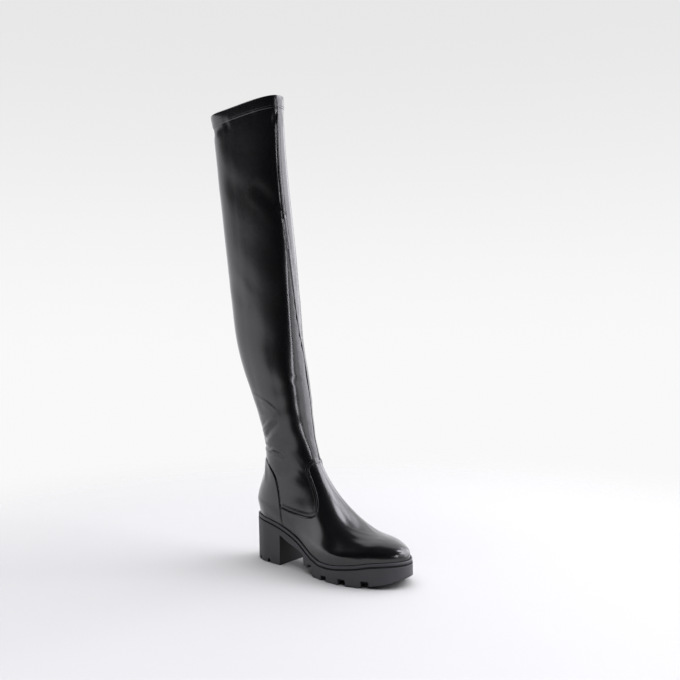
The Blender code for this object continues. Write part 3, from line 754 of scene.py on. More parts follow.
def build_vamp():
    edge = chained(to_sole(SIDE_SEAM)[::-1], TONGUE_EDGE, to_sole(INNER_SEAM))
    return sole_patch("vamp", edge, 300, 150,
                      ((0.0012, 0.0002), (0.003, 0.0005), (0.0055, 0.0009)))


def build_counter():
    edge = chained(to_sole(INNER_SEAM)[::-1], COUNTER_EDGE, to_sole(SIDE_SEAM))
    return sole_patch("heel_counter", edge, 220, 110, ((0.0004, 0.0004), (0.0010, 0.0012)),
                      COUNTER_HIGH)


def build_lining():
    row, col = between_lines(round_leg(2.0, 128), round_leg(TOP_ROW, 128),
                             np.linspace(0.0, 1.0, 190))
    return grid_sheet("lining", boot.at(row, col, -LINING_IN), -boot.read(boot.normals, row, col))


def section_strip(name, path, section, endless=False):
    """A strip: a closed section of (aside, lift) points carried along a lattice path."""
    pts = np.array([boot.at(*boot.beside(path, aside).T, lift)
                    for aside, lift in section + section[:1]]).transpose(1, 0, 2)
    if endless:
        pts[-1] = pts[0]
    piece = grid_sheet(name, pts, pts - pts.mean(1, keepdims=True))
    if not endless:
        edited(piece, (bpy.ops.mesh.fill_holes, dict(sides=0)),
               (bpy.ops.mesh.normals_make_consistent, dict(inside=False)))
        piece.data.shade_smooth()
    return piece


def rounded_section(start, end, low, high, soft):
    """Section of a flat strip with rounded upper edges, from one aside to another."""
    corner = rounding(soft, (0.0, 22.5, 45.0, 67.5, 90.0))
    flat = [(start + soft + (end - start - 2 * soft) * t, high) for t in (0.25, 0.5, 0.75)]
    return ([(start, low)] + [(start + i, high - d) for i, d in corner] + flat
            + [(end - i, high - d) for i, d in corner[::-1]] + [(end, low)])


BAND_TALL, BAND_THICK = 0.0150, 0.0005
SEAM_STRIP_HALF, SEAM_STRIP_HIGH = 0.0013, 0.00035


def build_collar_band():
    """Band turned over the collar; up is to the left of its path."""
    tall, thick, inner = BAND_TALL, BAND_THICK, WALL + 0.0012
    section = [(-tall, 0.0001), (-tall, thick * 0.6), (-tall + 0.0003, thick * 0.9),
               (-tall + 0.0008, thick)]
    section += [(-tall * s, thick + 0.0003 * math.sin(math.pi * s)) for s in (0.75, 0.5, 0.3, 0.15)]
    middle, radius = (thick - inner) / 2, (thick + inner) / 2
    section += [(radius * (0.75 * math.sin(a) - 0.55), middle + radius * math.cos(a))
                for a in np.linspace(0.0, math.pi, 9)]
    section += [(-tall * s, -inner) for s in (0.3, 0.6, 0.85)]
    section += [(-tall, -inner + 0.0002), (-tall, -inner + 0.0007)]
    return section_strip("collar_band", round_leg(TOP_ROW, 420), section, True)


def build_front_seam():
    """The narrow strip sewn over the front seam, from the tongue up to the collar band."""
    return section_strip("front_seam", even_line(boot.path(FRONT_SEAM), 320), rounded_section(
        -SEAM_STRIP_HALF, SEAM_STRIP_HALF, -0.0004, SEAM_STRIP_HIGH, 0.0002))


def lie_of(line, lift, at, step):
    """Places at lengths along a lattice line, their rows and columns, and the directions
    ahead, aside and out of the leather there."""
    pts = boot.at(*line.T, lift)
    far = lengths(pts)

    def reading(s, values):
        return np.stack([np.interp(s, far, v) for v in values.T], 1)

    spot = reading(at, line)
    ahead = unit(reading(at + step, pts) - reading(at - step, pts))
    aside = unit(np.cross(ahead, boot.read(boot.normals, *spot.T)))
    return reading(at, pts), spot, ahead, aside, np.cross(aside, ahead)


def copied(name, one, centres, *axes):
    """Copies of one modelled form, each on its own centre and its own three axes."""
    shape = np.array([v.co for v in one.data.vertices])
    faces = [list(f.vertices) for f in one.data.polygons]
    bpy.data.objects.remove(one, do_unlink=True)
    verts = centres[:, None] + sum(shape[:, k:k + 1] * axes[k][:, None] for k in range(3))
    verts = verts.reshape(-1, 3)
    me = bpy.data.meshes.new(name)
    me.from_pydata([tuple(v) for v in verts + SHIFT], [],
                   [[base + v for v in f] for base in range(0, len(verts), len(shape))
                    for f in faces])
    piece = bpy.data.objects.new(name, me)
    bpy.context.collection.objects.link(piece)
    closed(opened(piece), piece)
    return piece


def stitch_row(name, paths, pitch, length, radius, lift):
    """Thread stitches along lattice paths, each one a copy of a single modelled stitch."""
    one = started("stitch", bpy.ops.mesh.primitive_cylinder_add, vertices=6, radius=radius,
                  depth=length * 0.62, end_fill_type='NOTHING')
    bm = opened(one)
    # each open end is drawn down to a small point that dips into the leather
    for top in (1.0, -1.0):
        ends = [e for e in bm.edges if e.is_boundary and e.verts[0].co.z * top > 0.0]
        made = bmesh.ops.extrude_edge_only(bm, edges=ends)["geom"]
        for v in [g for g in made if isinstance(g, bmesh.types.BMVert)]:
            v.co = (v.co.x * 0.35, v.co.y * 0.35 - radius * 0.9, top * length / 2.0)
    bmesh.ops.holes_fill(bm, edges=[e for e in bm.edges if e.is_boundary], sides=0)
    closed(bm, one)
    rows = []
    for path, high in paths:
        total = lengths(boot.at(*path.T, high))[-1]
        count = max(2, int(total / pitch))
        at = (np.arange(count) + 0.5) / count * total
        _, spot, ahead, aside, out = lie_of(path, high, at, 5e-4)
        rows.append((boot.at(*spot.T, high + lift), aside, out, ahead))
    piece = copied(name, one, *(np.concatenate(part) for part in zip(*rows)))
    piece.data.shade_smooth()
    return piece


# Stations along the sole; close pairs keep the heel breast and the step behind the ball sharp
SHARP_AT = [0.2385, 0.2400, 0.428, 0.434, 0.500, 0.507]


def sole_angles(count):
    sharp = np.array([math.acos(1.0 - 2.0 * a) for a in SHARP_AT])
    keep = [a for a in np.linspace(0.0, math.pi, count) if np.abs(sharp - a).min() > 0.006]
    return np.sort(np.concatenate([keep, sharp]))


SOLE_ANGLES = sole_angles(150)
LUG_CUTS = [
    # along, width, height, depth
    (0.484, 0.0080, 0.0050, 0.012), (0.598, 0.0100, 0.0068, 0.012),
    (0.718, 0.0110, 0.0080, 0.012), (0.838, 0.0100, 0.0075, 0.012),
    (0.070, 0.0050, 0.0055, 0.008), (0.150, 0.0050, 0.0055, 0.008),
]
NOTCH_ROUND = 0.0009
CUT_UNDER = 0.004       # how far a notch's cutter reaches under the sole
EDGE, LIP = 0.0013, 0.0005      # roundings of the sole's lower edge and of the groove's lip


def build_outsole():
    """Heel block, waist and forefoot in one moulding, then the notches cut into its edge."""
    heel = 1.0 - ease((SOLE_ANGLES - 0.6) / 0.5)
    taper = np.concatenate([heel, heel[-2:0:-1]]) * 0.0005
    plain = plan_loop(SOLE_ANGLES, 0.0)[:, 0]
    straight = (plain / LENGTH > 0.05) & (plain / LENGTH < 0.95)

    def ring_at(inset, share, lift):
        loop = plan_loop(SOLE_ANGLES, inset + taper)
        loop[:, 0] = np.where(straight, plain, loop[:, 0])
        low, top = side_z(2, loop[:, 0]), side_z(1, loop[:, 0])
        return np.concatenate([loop, (low * (1 - share) + top * share + lift)[:, None]], 1)

    rings = [ring_at(inset, 0.0, up) for up, inset in rounding(EDGE, QUARTER)]
    rings += [ring_at(0.00012 * math.sin(math.pi * share), share, 0.0006 - GROOVE_H * share)
              for share in (0.25, 0.5, 0.75)]
    rings += [ring_at(inset, 1.0, -GROOVE_H - down)
              for inset, down in rounding(LIP, (0, 30, 60, 90))]
    rings += [ring_at(GROOVE_IN, 1.0, -GROOVE_H + 0.0003), ring_at(GROOVE_IN, 1.0, 0.0)]
    n = len(rings[0])
    piece = started("outsole_moulding", bpy.ops.mesh.primitive_cylinder_add, vertices=n,
                    radius=0.1, depth=0.05, end_fill_type='NOTHING')
    bm = opened(piece)
    bmesh.ops.delete(bm, geom=list(bm.verts), context='VERTS')
    rows = [[bm.verts.new(p + SHIFT) for p in r] for r in rings]
    for a, b in zip(rows, rows[1:]):
        for i in range(n):
            k = (i + 1) % n
            bm.faces.new((a[i], a[k], b[k], b[i]))
    for row in (rows[0], rows[-1]):
        for i in range(len(SOLE_ANGLES) - 1):
            bm.faces.new(list(dict.fromkeys(row[v % n] for v in (i, i + 1, n - i - 1, n - i))))
    closed(bm, piece)
    for at, wide, high, deep in LUG_CUTS:
        angle = math.acos(1.0 - 2.0 * at)
        for side in (1, -1):
            x, y = plan_side(np.array([angle]), side)[0]
            ahead = np.diff(plan_side(np.array([angle - 0.05, angle + 0.05]), side), axis=0)[0]
            low = float(side_z(2, x))
            cutter = sized_cube("cutter", (wide, deep * 2, high + 2 * CUT_UNDER))
            centre = Vector((x + SHIFT[0], y + SHIFT[1], low + high / 2 - CUT_UNDER))
            cutter.data.transform(Matrix.Translation(centre)
                                  @ Matrix.Rotation(math.atan2(ahead[1], ahead[0]), 4, 'Z'))
            bevel_all(cutter, NOTCH_ROUND, 3)
            cut = piece.modifiers.new("notch", 'BOOLEAN')
            cut.operation, cut.solver, cut.object = 'DIFFERENCE', 'EXACT', cutter
            choose(piece)
            bpy.ops.object.modifier_apply(modifier=cut.name)
            bpy.data.objects.remove(cutter, do_unlink=True)
    choose(piece)
    bpy.ops.object.shade_smooth_by_angle(angle=math.radians(34))
    mark_painted_shade_faces(piece)
    return piece


def mark_painted_shade_faces(piece):
    """Marks the groove, the heel breast and the underside: smoother, and darker with painted shade.
    """
    faces = piece.data.polygons
    centre, normal = np.empty(len(faces) * 3), np.empty(len(faces) * 3)
    faces.foreach_get("center", centre)
    faces.foreach_get("normal", normal)
    centre, normal = centre.reshape(-1, 3) - SHIFT, normal.reshape(-1, 3)
    groove = centre[:, 2] > side_z(1, centre[:, 0]) - GROOVE_H + 0.0001
    breast = (normal[:, 0] > 0.8) & (np.abs(centre[:, 0] - 0.06) < 0.01)
    mark = piece.data.attributes.new("painted_shade_face", 'FLOAT', 'FACE')
    mark.data.foreach_set("value", (groove | breast | (normal[:, 2] < -0.5)).astype(np.float32))


def build_rand():
    """Moulded strip round the upper's edge with a rounded top."""
    inner, outer, soft = GAP, GAP + RAND_T, 0.0009
    section = [(inner, 0.0005), (outer - 0.0003, 0.0005), (outer, 0.0008),
               (outer + 0.0001, 0.0014), (outer + 0.0001, 0.0020)]
    section += [(outer - i, RAND_H - d) for i, d in rounding(soft, QUARTER)]
    section += [(outer - soft - 0.0003, RAND_H), (inner, RAND_H - 0.0005)]
    rows = []
    for out, high in section + section[:1]:
        loop = plan_loop(np.linspace(0.0, math.pi, 241), FEATHER_IN - out)
        loop = np.concatenate([loop, loop[:1]])
        rows.append(np.concatenate([loop, (side_z(1, loop[:, 0]) + high)[:, None]], 1))
    pts = np.array(rows)
    return grid_sheet("rand_strip", pts, pts - pts.mean(0, keepdims=True))


FACING_IN = 0.0042      # how far the folded facings reach in over the tape
FACING_WIDE, FACING_HIGH = 0.0064, 0.0017
FACING_STITCH = 0.0052  # the stitching's distance from the facing's inner edge
TAPE_IN = 0.0012        # the tape's edges lie this far inside the zip's bed
TOOTH_PITCH = 0.00125
TOOTH_SIZE = (0.0032, 0.0009, 0.0013)
TOOTH_ASIDE, TEETH_UP = 0.0007, 0.0019  # from the middle line, and up from the leather


def build_zip_facings():
    """Folded leather edges beside the tape, one strip each side, joined."""
    fold = rounded_section(0.0, FACING_WIDE, 0.0002, FACING_HIGH, 0.0006)
    return joined("zip_facings", [
        section_strip("zip_facing", ZIP_LINE,
                      [(side * (ZIP_HALF - FACING_IN + aside), lift) for aside, lift in fold])
        for side in (1.0, -1.0)])


def build_tape():
    """Woven tape across the zip's bed, a little hollow along its middle."""
    section = [(-1.0, 0.0006), (-1.0, 0.0012), (-0.5, 0.0012), (-0.12, 0.0012), (0.0, 0.0008),
               (0.12, 0.0012), (0.5, 0.0012), (1.0, 0.0012), (1.0, 0.0006), (0.0, 0.0003)]
    return section_strip("tape", ZIP_LINE,
                         [(share * (ZIP_HALF - TAPE_IN), lift) for share, lift in section])


def build_teeth():
    """Interlocked teeth: one is modelled, then copied down both sides of the middle line."""
    one = sized_cube("tooth", TOOTH_SIZE)
    for v in one.data.vertices:
        if v.co.x > 0.0:
            v.co.y *= 0.72
    bevel_all(one, 0.00022, 2)
    line = ZIP_LINE[2:-7]
    k = np.arange(int(lengths(boot.at(*line.T, TEETH_UP))[-1] / TOOTH_PITCH))
    place, _, ahead, aside, out = lie_of(line, TEETH_UP, (k + 0.5) * TOOTH_PITCH, 1e-3)
    side = np.where(k % 2, 1.0, -1.0)[:, None]
    return copied("teeth", one, place + side * aside * TOOTH_ASIDE, -side * aside, ahead, out)


# The slider's own axes, from the hinge pin's place and direction in the record
HINGE = frame["joints"][0]
ACROSS = -Vector(HINGE["axis"]).normalized()


def slider_axes():
    """Across along the pin, up the zip and out of the leg, from the pin's middle."""
    out = Vector(boot.read(boot.normals, *ZIP_LINE[-8:-7].T)[0]).normalized()
    out = (out - ACROSS * out.dot(ACROSS)).normalized()
    up = out.cross(ACROSS).normalized()
    if up.z < 0.0:
        up = -up
    return (Matrix.Translation(Vector(HINGE["pos_m"]))
            @ Matrix((ACROSS, up, out)).transposed().to_4x4())


SLIDER_AXES = slider_axes()


def set_on_zip(piece):
    piece.data.transform(SLIDER_AXES)
    bpy.ops.object.shade_smooth_by_angle(angle=math.radians(40))
    return piece


def build_slider():
    """Slider body, waisted towards the closed end, with a bridge that carries the pin."""
    long, low_end = 0.0098, -0.0059
    body = sized_cube("slider", (0.0082, long, 0.0030), (0.0, -0.0010, -0.0028))
    edited(body, (bpy.ops.mesh.subdivide, dict(number_cuts=3)))
    for v in body.data.vertices:
        t = (v.co.y - low_end) / long
        v.co.x *= 0.66 + 0.34 * float(ease(t * 1.3)) - 0.10 * float(ease((t - 0.75) * 4))
        v.co.z -= 0.0004 * abs(v.co.x / 0.004) ** 2
    bm = opened(body)
    sharp = [e for e in bm.edges if len(e.link_faces) == 2 and e.calc_face_angle() > 0.9]
    bmesh.ops.bevel(bm, geom=sharp, offset=0.0004, segments=2, affect='EDGES')
    closed(bm, body, False)
    bridge = started("bridge", bpy.ops.mesh.primitive_grid_add, x_subdivisions=8,
                     y_subdivisions=4, size=1.0)
    for i, v in enumerate(bridge.data.vertices):
        a = math.pi * (i % 9) / 8
        wide, thick = ((-1, -1), (1, -1), (1, 1), (-1, 1), (-1, -1))[i // 9]
        reach = 1.0 + 0.00035 * thick / 0.0022
        v.co = Vector((wide * 0.0011, 0.0028 * math.cos(a) * reach,
                       0.0016 * math.sin(a) * reach - 0.0013))
    bm = opened(bridge)
    bmesh.ops.remove_doubles(bm, verts=bm.verts, dist=1e-6)
    bmesh.ops.holes_fill(bm, edges=[e for e in bm.edges if e.is_boundary], sides=0)
    closed(bm, bridge)
    bevel_all(bridge, 0.00018, 2)
    return set_on_zip(joined("slider", [body, bridge]))


# The right half of each outline of the pull, from its top down: across, then up
PULL_OUTLINES = [
    [(0.0, 0.0016), (0.0014, 0.0012), (0.0021, 0.0), (0.0020, -0.0016),
     (0.0015, -0.0034), (0.0016, -0.0060), (0.0024, -0.0100), (0.0029, -0.0145),
     (0.0030, -0.0180), (0.0026, -0.0203), (0.0014, -0.0216), (0.0, -0.0219)],
    # window in the blade
    [(0.0, -0.0112), (0.0008, -0.0116), (0.0012, -0.0128), (0.0014, -0.0148),
     (0.0015, -0.0166), (0.0015, -0.0180), (0.0014, -0.0188), (0.0012, -0.0193),
     (0.0009, -0.0197), (0.0006, -0.0199), (0.0003, -0.0200), (0.0, -0.0200)],
    # eye round the bridge
    [(0.0, 0.0009), (0.0006, 0.0006), (0.0009, 0.0), (0.0006, -0.0006), (0.0, -0.0009)],
]


PULL_THICK = 0.0013


def build_pull():
    """Flat pull: an eye round the bridge, a narrow neck and a blade with a long window."""
    piece = started("pull", bpy.ops.mesh.primitive_circle_add, vertices=22, radius=0.01)
    bm = opened(piece)
    bmesh.ops.delete(bm, geom=list(bm.verts), context='VERTS')
    for half in PULL_OUTLINES:
        loop = [bm.verts.new((x, y, 0.0)) for x, y in half + [(-x, y) for x, y in half[-2:0:-1]]]
        for a, b in zip(loop, loop[1:] + loop[:1]):
            bm.edges.new((a, b))
    bmesh.ops.triangle_fill(bm, edges=list(bm.edges), use_beauty=True)
    closed(bm, piece, False)
    thick = piece.modifiers.new("thickness", 'SOLIDIFY')
    thick.thickness, thick.offset = PULL_THICK, 0.0
    soft = piece.modifiers.new("soft edges", 'BEVEL')
    soft.width, soft.segments, soft.limit_method = 0.0003, 2, 'ANGLE'
    choose(piece)
    for step in ("thickness", "soft edges"):
        bpy.ops.object.modifier_apply(modifier=step)
    closed(opened(piece), piece)
    return set_on_zip(piece)


class Number:
    """A value running through a node tree. Arithmetic on it adds the Math nodes."""

    def __init__(self, nodes, socket):
        self.nodes = nodes
        self.socket = socket

    def _math(self, kind, *values):
        return self.nodes.number('ShaderNodeMath', {"operation": kind}, dict(enumerate(values)))

    def __add__(self, other):
        return self._math('ADD', self, other)

    def __sub__(self, other):
        return self._math('SUBTRACT', self, other)

    def __rsub__(self, other):
        return self._math('SUBTRACT', other, self)

    def __mul__(self, other):
        return self._math('MULTIPLY', self, other)

    def __truediv__(self, other):
        return self._math('DIVIDE', self, other)

    def power(self, other):
        return self._math('POWER', self, other)

    def sine(self):
        return self._math('SINE', self)

    def most(self, other):
        return self._math('MAXIMUM', self, other)

    __radd__ = __add__
    __rmul__ = __mul__

    def ramp(self, low, high):
        """Smooth step from 0 at low to 1 at high."""
        return self.nodes.number('ShaderNodeMapRange', {"interpolation_type": 'SMOOTHSTEP'},
                                 {0: self, 1: low, 2: high, 3: 0.0, 4: 1.0})


class Nodes:
    """A node tree that is built one node at a time."""

    def __init__(self, tree):
        self.tree = tree

    def node(self, kind, settings=None, inputs=None):
        """Adds a node: its settings first, then the values or links of its sockets."""
        made = self.tree.nodes.new(kind)
        for key, value in (settings or {}).items():
            setattr(made, key, value)
        for key, value in (inputs or {}).items():
            self.join(value, made.inputs[key])
        return made

    def join(self, value, socket):
        if isinstance(value, Number):
            value = value.socket
        if isinstance(value, bpy.types.NodeSocket):
            self.tree.links.new(value, socket)
        else:
            socket.default_value = value

    def number(self, kind, settings, inputs, output=0):
        """Adds a node and gives one of its outputs as a number."""
        return Number(self, self.node(kind, settings, inputs).outputs[output])

    def parts(self, way):
        """The three numbers of a vector."""
        return [Number(self, part)
                for part in self.node('ShaderNodeSeparateXYZ', {}, {0: way}).outputs]


class Finish(Nodes):
    """One procedural material with a Principled surface."""

    def __init__(self, name, **fixed):
        self.material = bpy.data.materials.new(name)
        self.material.use_nodes = True
        super().__init__(self.material.node_tree)
        self.surface = self.tree.nodes["Principled BSDF"]
        for key, value in fixed.items():
            self.surface.inputs[key.replace("_", " ")].default_value = value

    def place(self):
        return self.node('ShaderNodeTexCoord').outputs["Object"]

    def noise(self, scale, detail=2.0, rough=0.5, warp=0.0):
        return self.number('ShaderNodeTexNoise', {}, {
            "Vector": self.place(), "Scale": scale, "Detail": detail,
            "Roughness": rough, "Distortion": warp}, "Fac")

    def blend(self, share, one, two):
        one, two = ((*shade, 1.0) if isinstance(shade, tuple) else shade for shade in (one, two))
        return self.node('ShaderNodeMix', {"data_type": 'RGBA'}, {
            0: share, 6: one, 7: two}).outputs[2]

    def bump(self, height, deep, strength, under=None):
        inputs = {"Height": height, "Distance": deep, "Strength": strength}
        if under is not None:
            inputs["Normal"] = under
        return self.node('ShaderNodeBump', {}, inputs).outputs["Normal"]

    def wear(self, **looks):
        """Joins patterns to the surface's sockets, and gives the material."""
        for key, value in looks.items():
            self.join(value, self.surface.inputs[key.replace("_", " ")])
        return self.material


def leather_finish():
    """Smooth coated leather: near black, satin, with a very fine pressed grain."""
    f = Finish("black_smooth_leather", Coat_Weight=0.5, Coat_Roughness=0.15, Coat_IOR=1.5)
    broad = f.noise(26.0, 3.0)
    cells = f.number('ShaderNodeTexVoronoi', {"feature": 'F1'},
                     {"Vector": f.place(), "Scale": 1500.0}, "Distance")
    grain = cells * 0.7 + f.noise(2600.0, 2.0) * 0.5
    soft = f.bump(f.noise(95.0, 3.0, 0.55, 0.6), 0.00030, 0.45)
    return f.wear(Base_Color=f.blend(broad, (0.0022, 0.0024, 0.0028), (0.0046, 0.0047, 0.0056)),
                  Roughness=0.20 + broad * 0.06 + f.noise(420.0, 2.0) * 0.04,
                  Normal=f.bump(grain, 0.00004, 0.35, soft))


def rubber_finish(name, dark, light, rough):
    """Moulded sole rubber: matt dark grey with a fine cast skin, and painted shade, near black, on
    the marked inner faces.
    """
    f = Finish(name, Coat_Weight=0.0, Specular_IOR_Level=0.42)
    broad, fine = f.noise(38.0, 4.0, 0.6), f.noise(900.0, 3.0, 0.6)
    # Painted shade: the marked groove, heel breast and underside are coloured near black for the
    # shade that falls there, and made more matt.
    inner = f.number('ShaderNodeAttribute', {"attribute_name": "painted_shade_face"}, {}, "Fac")
    return f.wear(Base_Color=f.blend(inner, f.blend(broad, dark, light), (0.007, 0.007, 0.008)),
                  Roughness=rough + broad * 0.10 + fine * 0.05 + inner * 0.15,
                  Normal=f.bump(fine * 0.8 + f.noise(2600.0) * 0.4, 0.00006, 0.5))


def lining_finish():
    """Brushed textile lining: matt, with a short fibre nap."""
    f = Finish("dark_textile_lining", Sheen_Weight=0.25, Sheen_Roughness=0.5)
    fibre = f.noise(2200.0, 3.0, 0.7, 1.5)
    return f.wear(Base_Color=f.blend(fibre, (0.016, 0.015, 0.015), (0.042, 0.040, 0.039)),
                  Roughness=0.78 + fibre * 0.2, Normal=f.bump(fibre, 0.00012, 0.6))


def tape_finish():
    """Woven zip tape: fine ribs along and across the cloth."""
    f = Finish("woven_zip_tape", Sheen_Weight=0.15)
    x, _, z = f.parts(f.place())
    weave = (z * 9000.0).sine() * 0.5 + ((x + z * 0.19) * 7200.0).sine() * 0.5
    return f.wear(Base_Color=f.blend(weave * 0.5 + 0.5, (0.008, 0.008, 0.007),
                                     (0.030, 0.030, 0.026)),
                  Roughness=0.68 + f.noise(300.0) * 0.2, Normal=f.bump(weave, 0.00008, 0.7))


def thread_finish():
    """Black sewing thread with its twist."""
    f = Finish("black_thread", Sheen_Weight=0.1)
    x, _, z = f.parts(f.place())
    twist = ((x + z) * 9000.0).sine()
    return f.wear(Base_Color=f.blend(twist * 0.5 + 0.5, (0.010, 0.010, 0.011),
                                     (0.030, 0.030, 0.033)),
                  Roughness=0.46 + twist * 0.08, Normal=f.bump(twist, 0.00006, 0.6))


def metal_finish(name, dark, light, rough):
    """Dark plated zip metal with fine rubbed marks."""
    f = Finish(name, Metallic=1.0)
    rub = f.noise(1300.0, 3.0, 0.6)
    return f.wear(Base_Color=f.blend(rub, dark, light), Roughness=rough + rub * 0.16,
                  Normal=f.bump(rub, 0.00002, 0.3))


LEATHER = leather_finish()
SOLE = rubber_finish("moulded_sole", (0.048, 0.048, 0.053), (0.066, 0.066, 0.071), 0.50)
RAND = rubber_finish("moulded_rand", (0.048, 0.048, 0.054), (0.064, 0.064, 0.070), 0.40)
LINING = lining_finish()
TAPE = tape_finish()
THREAD = thread_finish()
TEETH = metal_finish("dark_zip_teeth", (0.045, 0.044, 0.038), (0.085, 0.082, 0.072), 0.34)
METAL = metal_finish("dark_zip_metal", (0.10, 0.098, 0.095), (0.20, 0.195, 0.19), 0.26)

for build, body, slot, finish, *nodes in (
        (build_shaft, "boot", "leather", LEATHER, "upper"),
        (build_vamp, "boot", "leather", LEATHER),
        (build_counter, "boot", "leather", LEATHER),
        (build_lining, "boot", "lining", LINING),
        (build_collar_band, "boot", "leather", LEATHER),
        (build_rand, "boot", "sole", RAND, "rand"),
        (build_outsole, "boot", "sole", SOLE, "outsole"),
        (build_front_seam, "boot", "leather", LEATHER),
        (build_zip_facings, "boot", "leather", LEATHER),
        (build_tape, "boot", "tape", TAPE, "zip_tape"),
        (build_teeth, "boot", "teeth", TEETH, "zip_teeth"),
        (build_slider, "boot", "zip_metal", METAL, "zip_slider"),
        (build_pull, "tab", "zip_metal", METAL, "pull_tab")):
    finish_piece(build(), body, slot, finish, *nodes)
for place in frame["nodes"]["insole"].material_slots:
    place.material = LINING

# Stitching: two rows round each tongue, one under the collar band and one on each zip facing
TONGUE_STITCH = ((0.0016, 1.0), (0.0042, 0.8))  # in from the edge, share of its thickness
BAND_STITCH = 0.0022    # up from the collar band's lower edge
TONGUE_ROWS = [(boot.beside(boot.path(tongue), aside), TONGUE_HIGH * share)
               for tongue in (OUTER_TONGUE, INNER_TONGUE)
               for aside, share in TONGUE_STITCH]
BAND_ROW = boot.beside(round_leg(TOP_ROW, 420), BAND_STITCH - BAND_TALL)
FACING_ROWS = [(boot.beside(ZIP_LINE, side * (ZIP_HALF - FACING_IN + FACING_STITCH)), FACING_HIGH)
               for side in (1.0, -1.0)]
for name, rows, pitch, length, radius, lift in (
        ("tongue_stitching", TONGUE_ROWS, 0.0027, 0.0022, 0.00028, 0.00008),
        ("collar_stitching", [(BAND_ROW, BAND_THICK)], 0.0030, 0.0024, 0.00028, 0.00015),
        ("zip_stitching", FACING_ROWS, 0.0028, 0.0023, 0.00026, 0.00005)):
    finish_piece(stitch_row(name, rows, pitch, length, radius, lift), "boot", "leather", THREAD)

# Floor, room and lamps
FLOOR_DARK, FLOOR_LIGHT = (0.515, 0.515, 0.502), (0.53, 0.53, 0.517)
FLOOR_FADE = (0.34, 0.95)       # distance over which the floor fades out, in metres
SEEN_LOW, SEEN_TOP = 0.945, 0.80    # backdrop as the camera sees it, level and at the top
BACK_WALL = 1.05                # light of the wall behind the boot
SIDE_WALL = 1.20                # light of the low pale ground on both sides
ROOM_DARK = 0.012               # light from behind the camera and from above
LIGHTS_FAR = 3.5                # distance of the lights from the boot, in metres
LIGHTS_AIM = (0.0, 0.0, 0.30)

# Camera as the photograph's: place in the part's frame, line of sight, pitch and roll
EYE = Vector((0.7594, -0.8347, 0.3360))
LOOK = (-0.6416, 0.7670)
PITCH = math.radians(1.8806)
ROLL = math.radians(-1.0468)


def studio_floor():
    """Wide pale floor that fades out into the pale room."""
    floor = started("floor", bpy.ops.mesh.primitive_circle_add, vertices=96, radius=6.0,
                    fill_type='NGON')
    f = Finish("pale_floor", Roughness=0.9, Specular_IOR_Level=0.1)
    floor.data.materials.append(f.wear(Base_Color=f.blend(f.noise(3.0), FLOOR_DARK, FLOOR_LIGHT)))
    x, y, _ = f.parts(f.place())
    far = (x * x + y * y).power(0.5)
    clear = f.node('ShaderNodeBsdfTransparent')
    mix = f.node('ShaderNodeMixShader', {}, {0: far.ramp(*FLOOR_FADE),
                                             1: f.surface.outputs[0], 2: clear.outputs[0]})
    f.join(mix.outputs[0], f.tree.nodes["Material Output"].inputs["Surface"])


def studio_room():
    """Pale wall behind the boot and pale ground beside it, dark towards the camera and above."""
    world = bpy.data.worlds.new("studio")
    bpy.context.scene.world = world
    world.use_nodes = True
    world.node_tree.nodes.clear()
    room = Nodes(world.node_tree)
    way = room.node('ShaderNodeTexCoord').outputs["Generated"]
    up = room.parts(way)[2]
    ahead = room.number('ShaderNodeVectorMath', {"operation": 'DOT_PRODUCT'},
                        {0: way, 1: (*LOOK, 0.0)}, "Value")
    level = ahead / (1.0 - up * up).most(0.01).power(0.5)
    wall = level.ramp(0.60, 0.84) * (1.0 - up.ramp(0.90, 0.98)) * BACK_WALL
    ground = ahead.ramp(-0.97, -0.78) * (1.0 - (up - ahead * 0.25).ramp(0.105, 0.16)) * SIDE_WALL
    seen = SEEN_LOW + up.ramp(-0.06, 0.36) * (SEEN_TOP - SEEN_LOW)
    lit = room.node('ShaderNodeBackground', {}, {
        0: (0.965, 0.96, 1.0, 1.0), 1: wall.most(ground) + ROOM_DARK})
    shown = room.node('ShaderNodeBackground', {}, {0: (1.0, 1.0, 1.0, 1.0), 1: seen})
    ray = room.node('ShaderNodeLightPath')
    mix = room.node('ShaderNodeMixShader', {}, {0: ray.outputs["Is Camera Ray"],
                                                1: lit.outputs[0], 2: shown.outputs[0]})
    room.node('ShaderNodeOutputWorld', {}, {0: mix.outputs[0]})


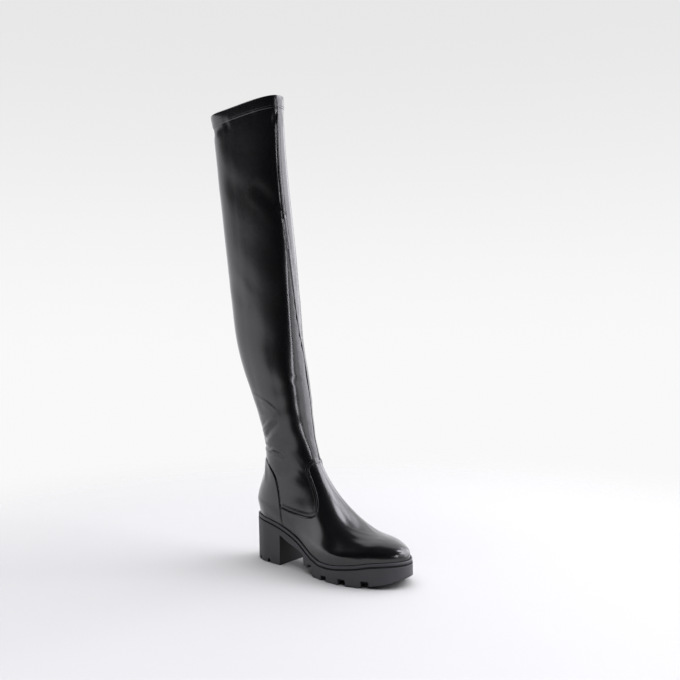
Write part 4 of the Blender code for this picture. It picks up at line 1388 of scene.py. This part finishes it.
def softbox(name, bearing, rise, half_wide, half_tall, glow, on_matt=True):
    """A soft light: bearing from the line of sight (90 is right) and rise above level, its
    half width and height as seen from the boot, all in degrees, and how brightly it glows."""
    a, e = math.radians(bearing), math.radians(rise)
    ahead, right = Vector((*LOOK, 0.0)), Vector((LOOK[1], -LOOK[0], 0.0))
    way = (ahead * math.cos(a) + right * math.sin(a)) * math.cos(e) + Vector((0, 0, math.sin(e)))
    light = bpy.data.lights.new(name, 'AREA')
    light.shape = 'RECTANGLE'
    light.size, light.size_y = (2.0 * LIGHTS_FAR * math.tan(math.radians(half))
                                for half in (half_wide, half_tall))
    light.energy = glow * math.pi * light.size * light.size_y
    light.color = (0.94, 0.935, 1.0)
    ob = bpy.data.objects.new(name, light)
    bpy.context.collection.objects.link(ob)
    ob.location = Vector(LIGHTS_AIM) + way * LIGHTS_FAR
    ob.rotation_euler = (-way).to_track_quat('-Z', 'Y').to_euler()
    ob.visible_camera = False
    ob.visible_diffuse = on_matt
    return ob


def photo_camera():
    data = bpy.data.cameras.new("camera")
    data.lens, data.sensor_width = 45.0, 36.0
    data.clip_start, data.clip_end = 0.05, 60.0
    cam = bpy.data.objects.new("camera", data)
    bpy.context.collection.objects.link(cam)
    ahead = Vector((LOOK[0] * math.cos(PITCH), LOOK[1] * math.cos(PITCH), -math.sin(PITCH)))
    right = ahead.cross(Vector((0.0, 0.0, 1.0))).normalized()
    up = right.cross(ahead).normalized()
    rolled_right = right * math.cos(ROLL) + up * math.sin(ROLL)
    rolled_up = up * math.cos(ROLL) - right * math.sin(ROLL)
    turn = Matrix((rolled_right, rolled_up, -ahead)).transposed().to_4x4()
    cam.matrix_world = Matrix.Translation(EYE) @ turn
    bpy.context.scene.camera = cam


studio_floor()
studio_room()
for lamp in (
        # name, bearing, rise, half width, half height, glow, and whether it lights matt faces
        ("right_high", 98, 38, 18, 13, 6.5), ("right_high_near", 68, 38, 11, 13, 4.0),
        ("right_high_end", 47, 38, 9, 12, 2.2), ("right_middle", 72, 17, 33, 8, 4.3),
        ("left_high", -74, 43, 14, 8, 3.6, False), ("right_low", 72, 2, 33, 6, 2.8, False),
        ("right_fill", 122, 16, 16, 17, 1.9, False), ("toe_glint", 82, 60, 8, 7, 9.0, False),
        ("right_strip", 153, 12, 3.5, 11, 10.0, False)):
    softbox(*lamp)
softbox("overhead", 0, 90, 34, 34, 3.0).visible_glossy = False
photo_camera()
bpy.context.scene.view_settings.view_transform = 'Standard'
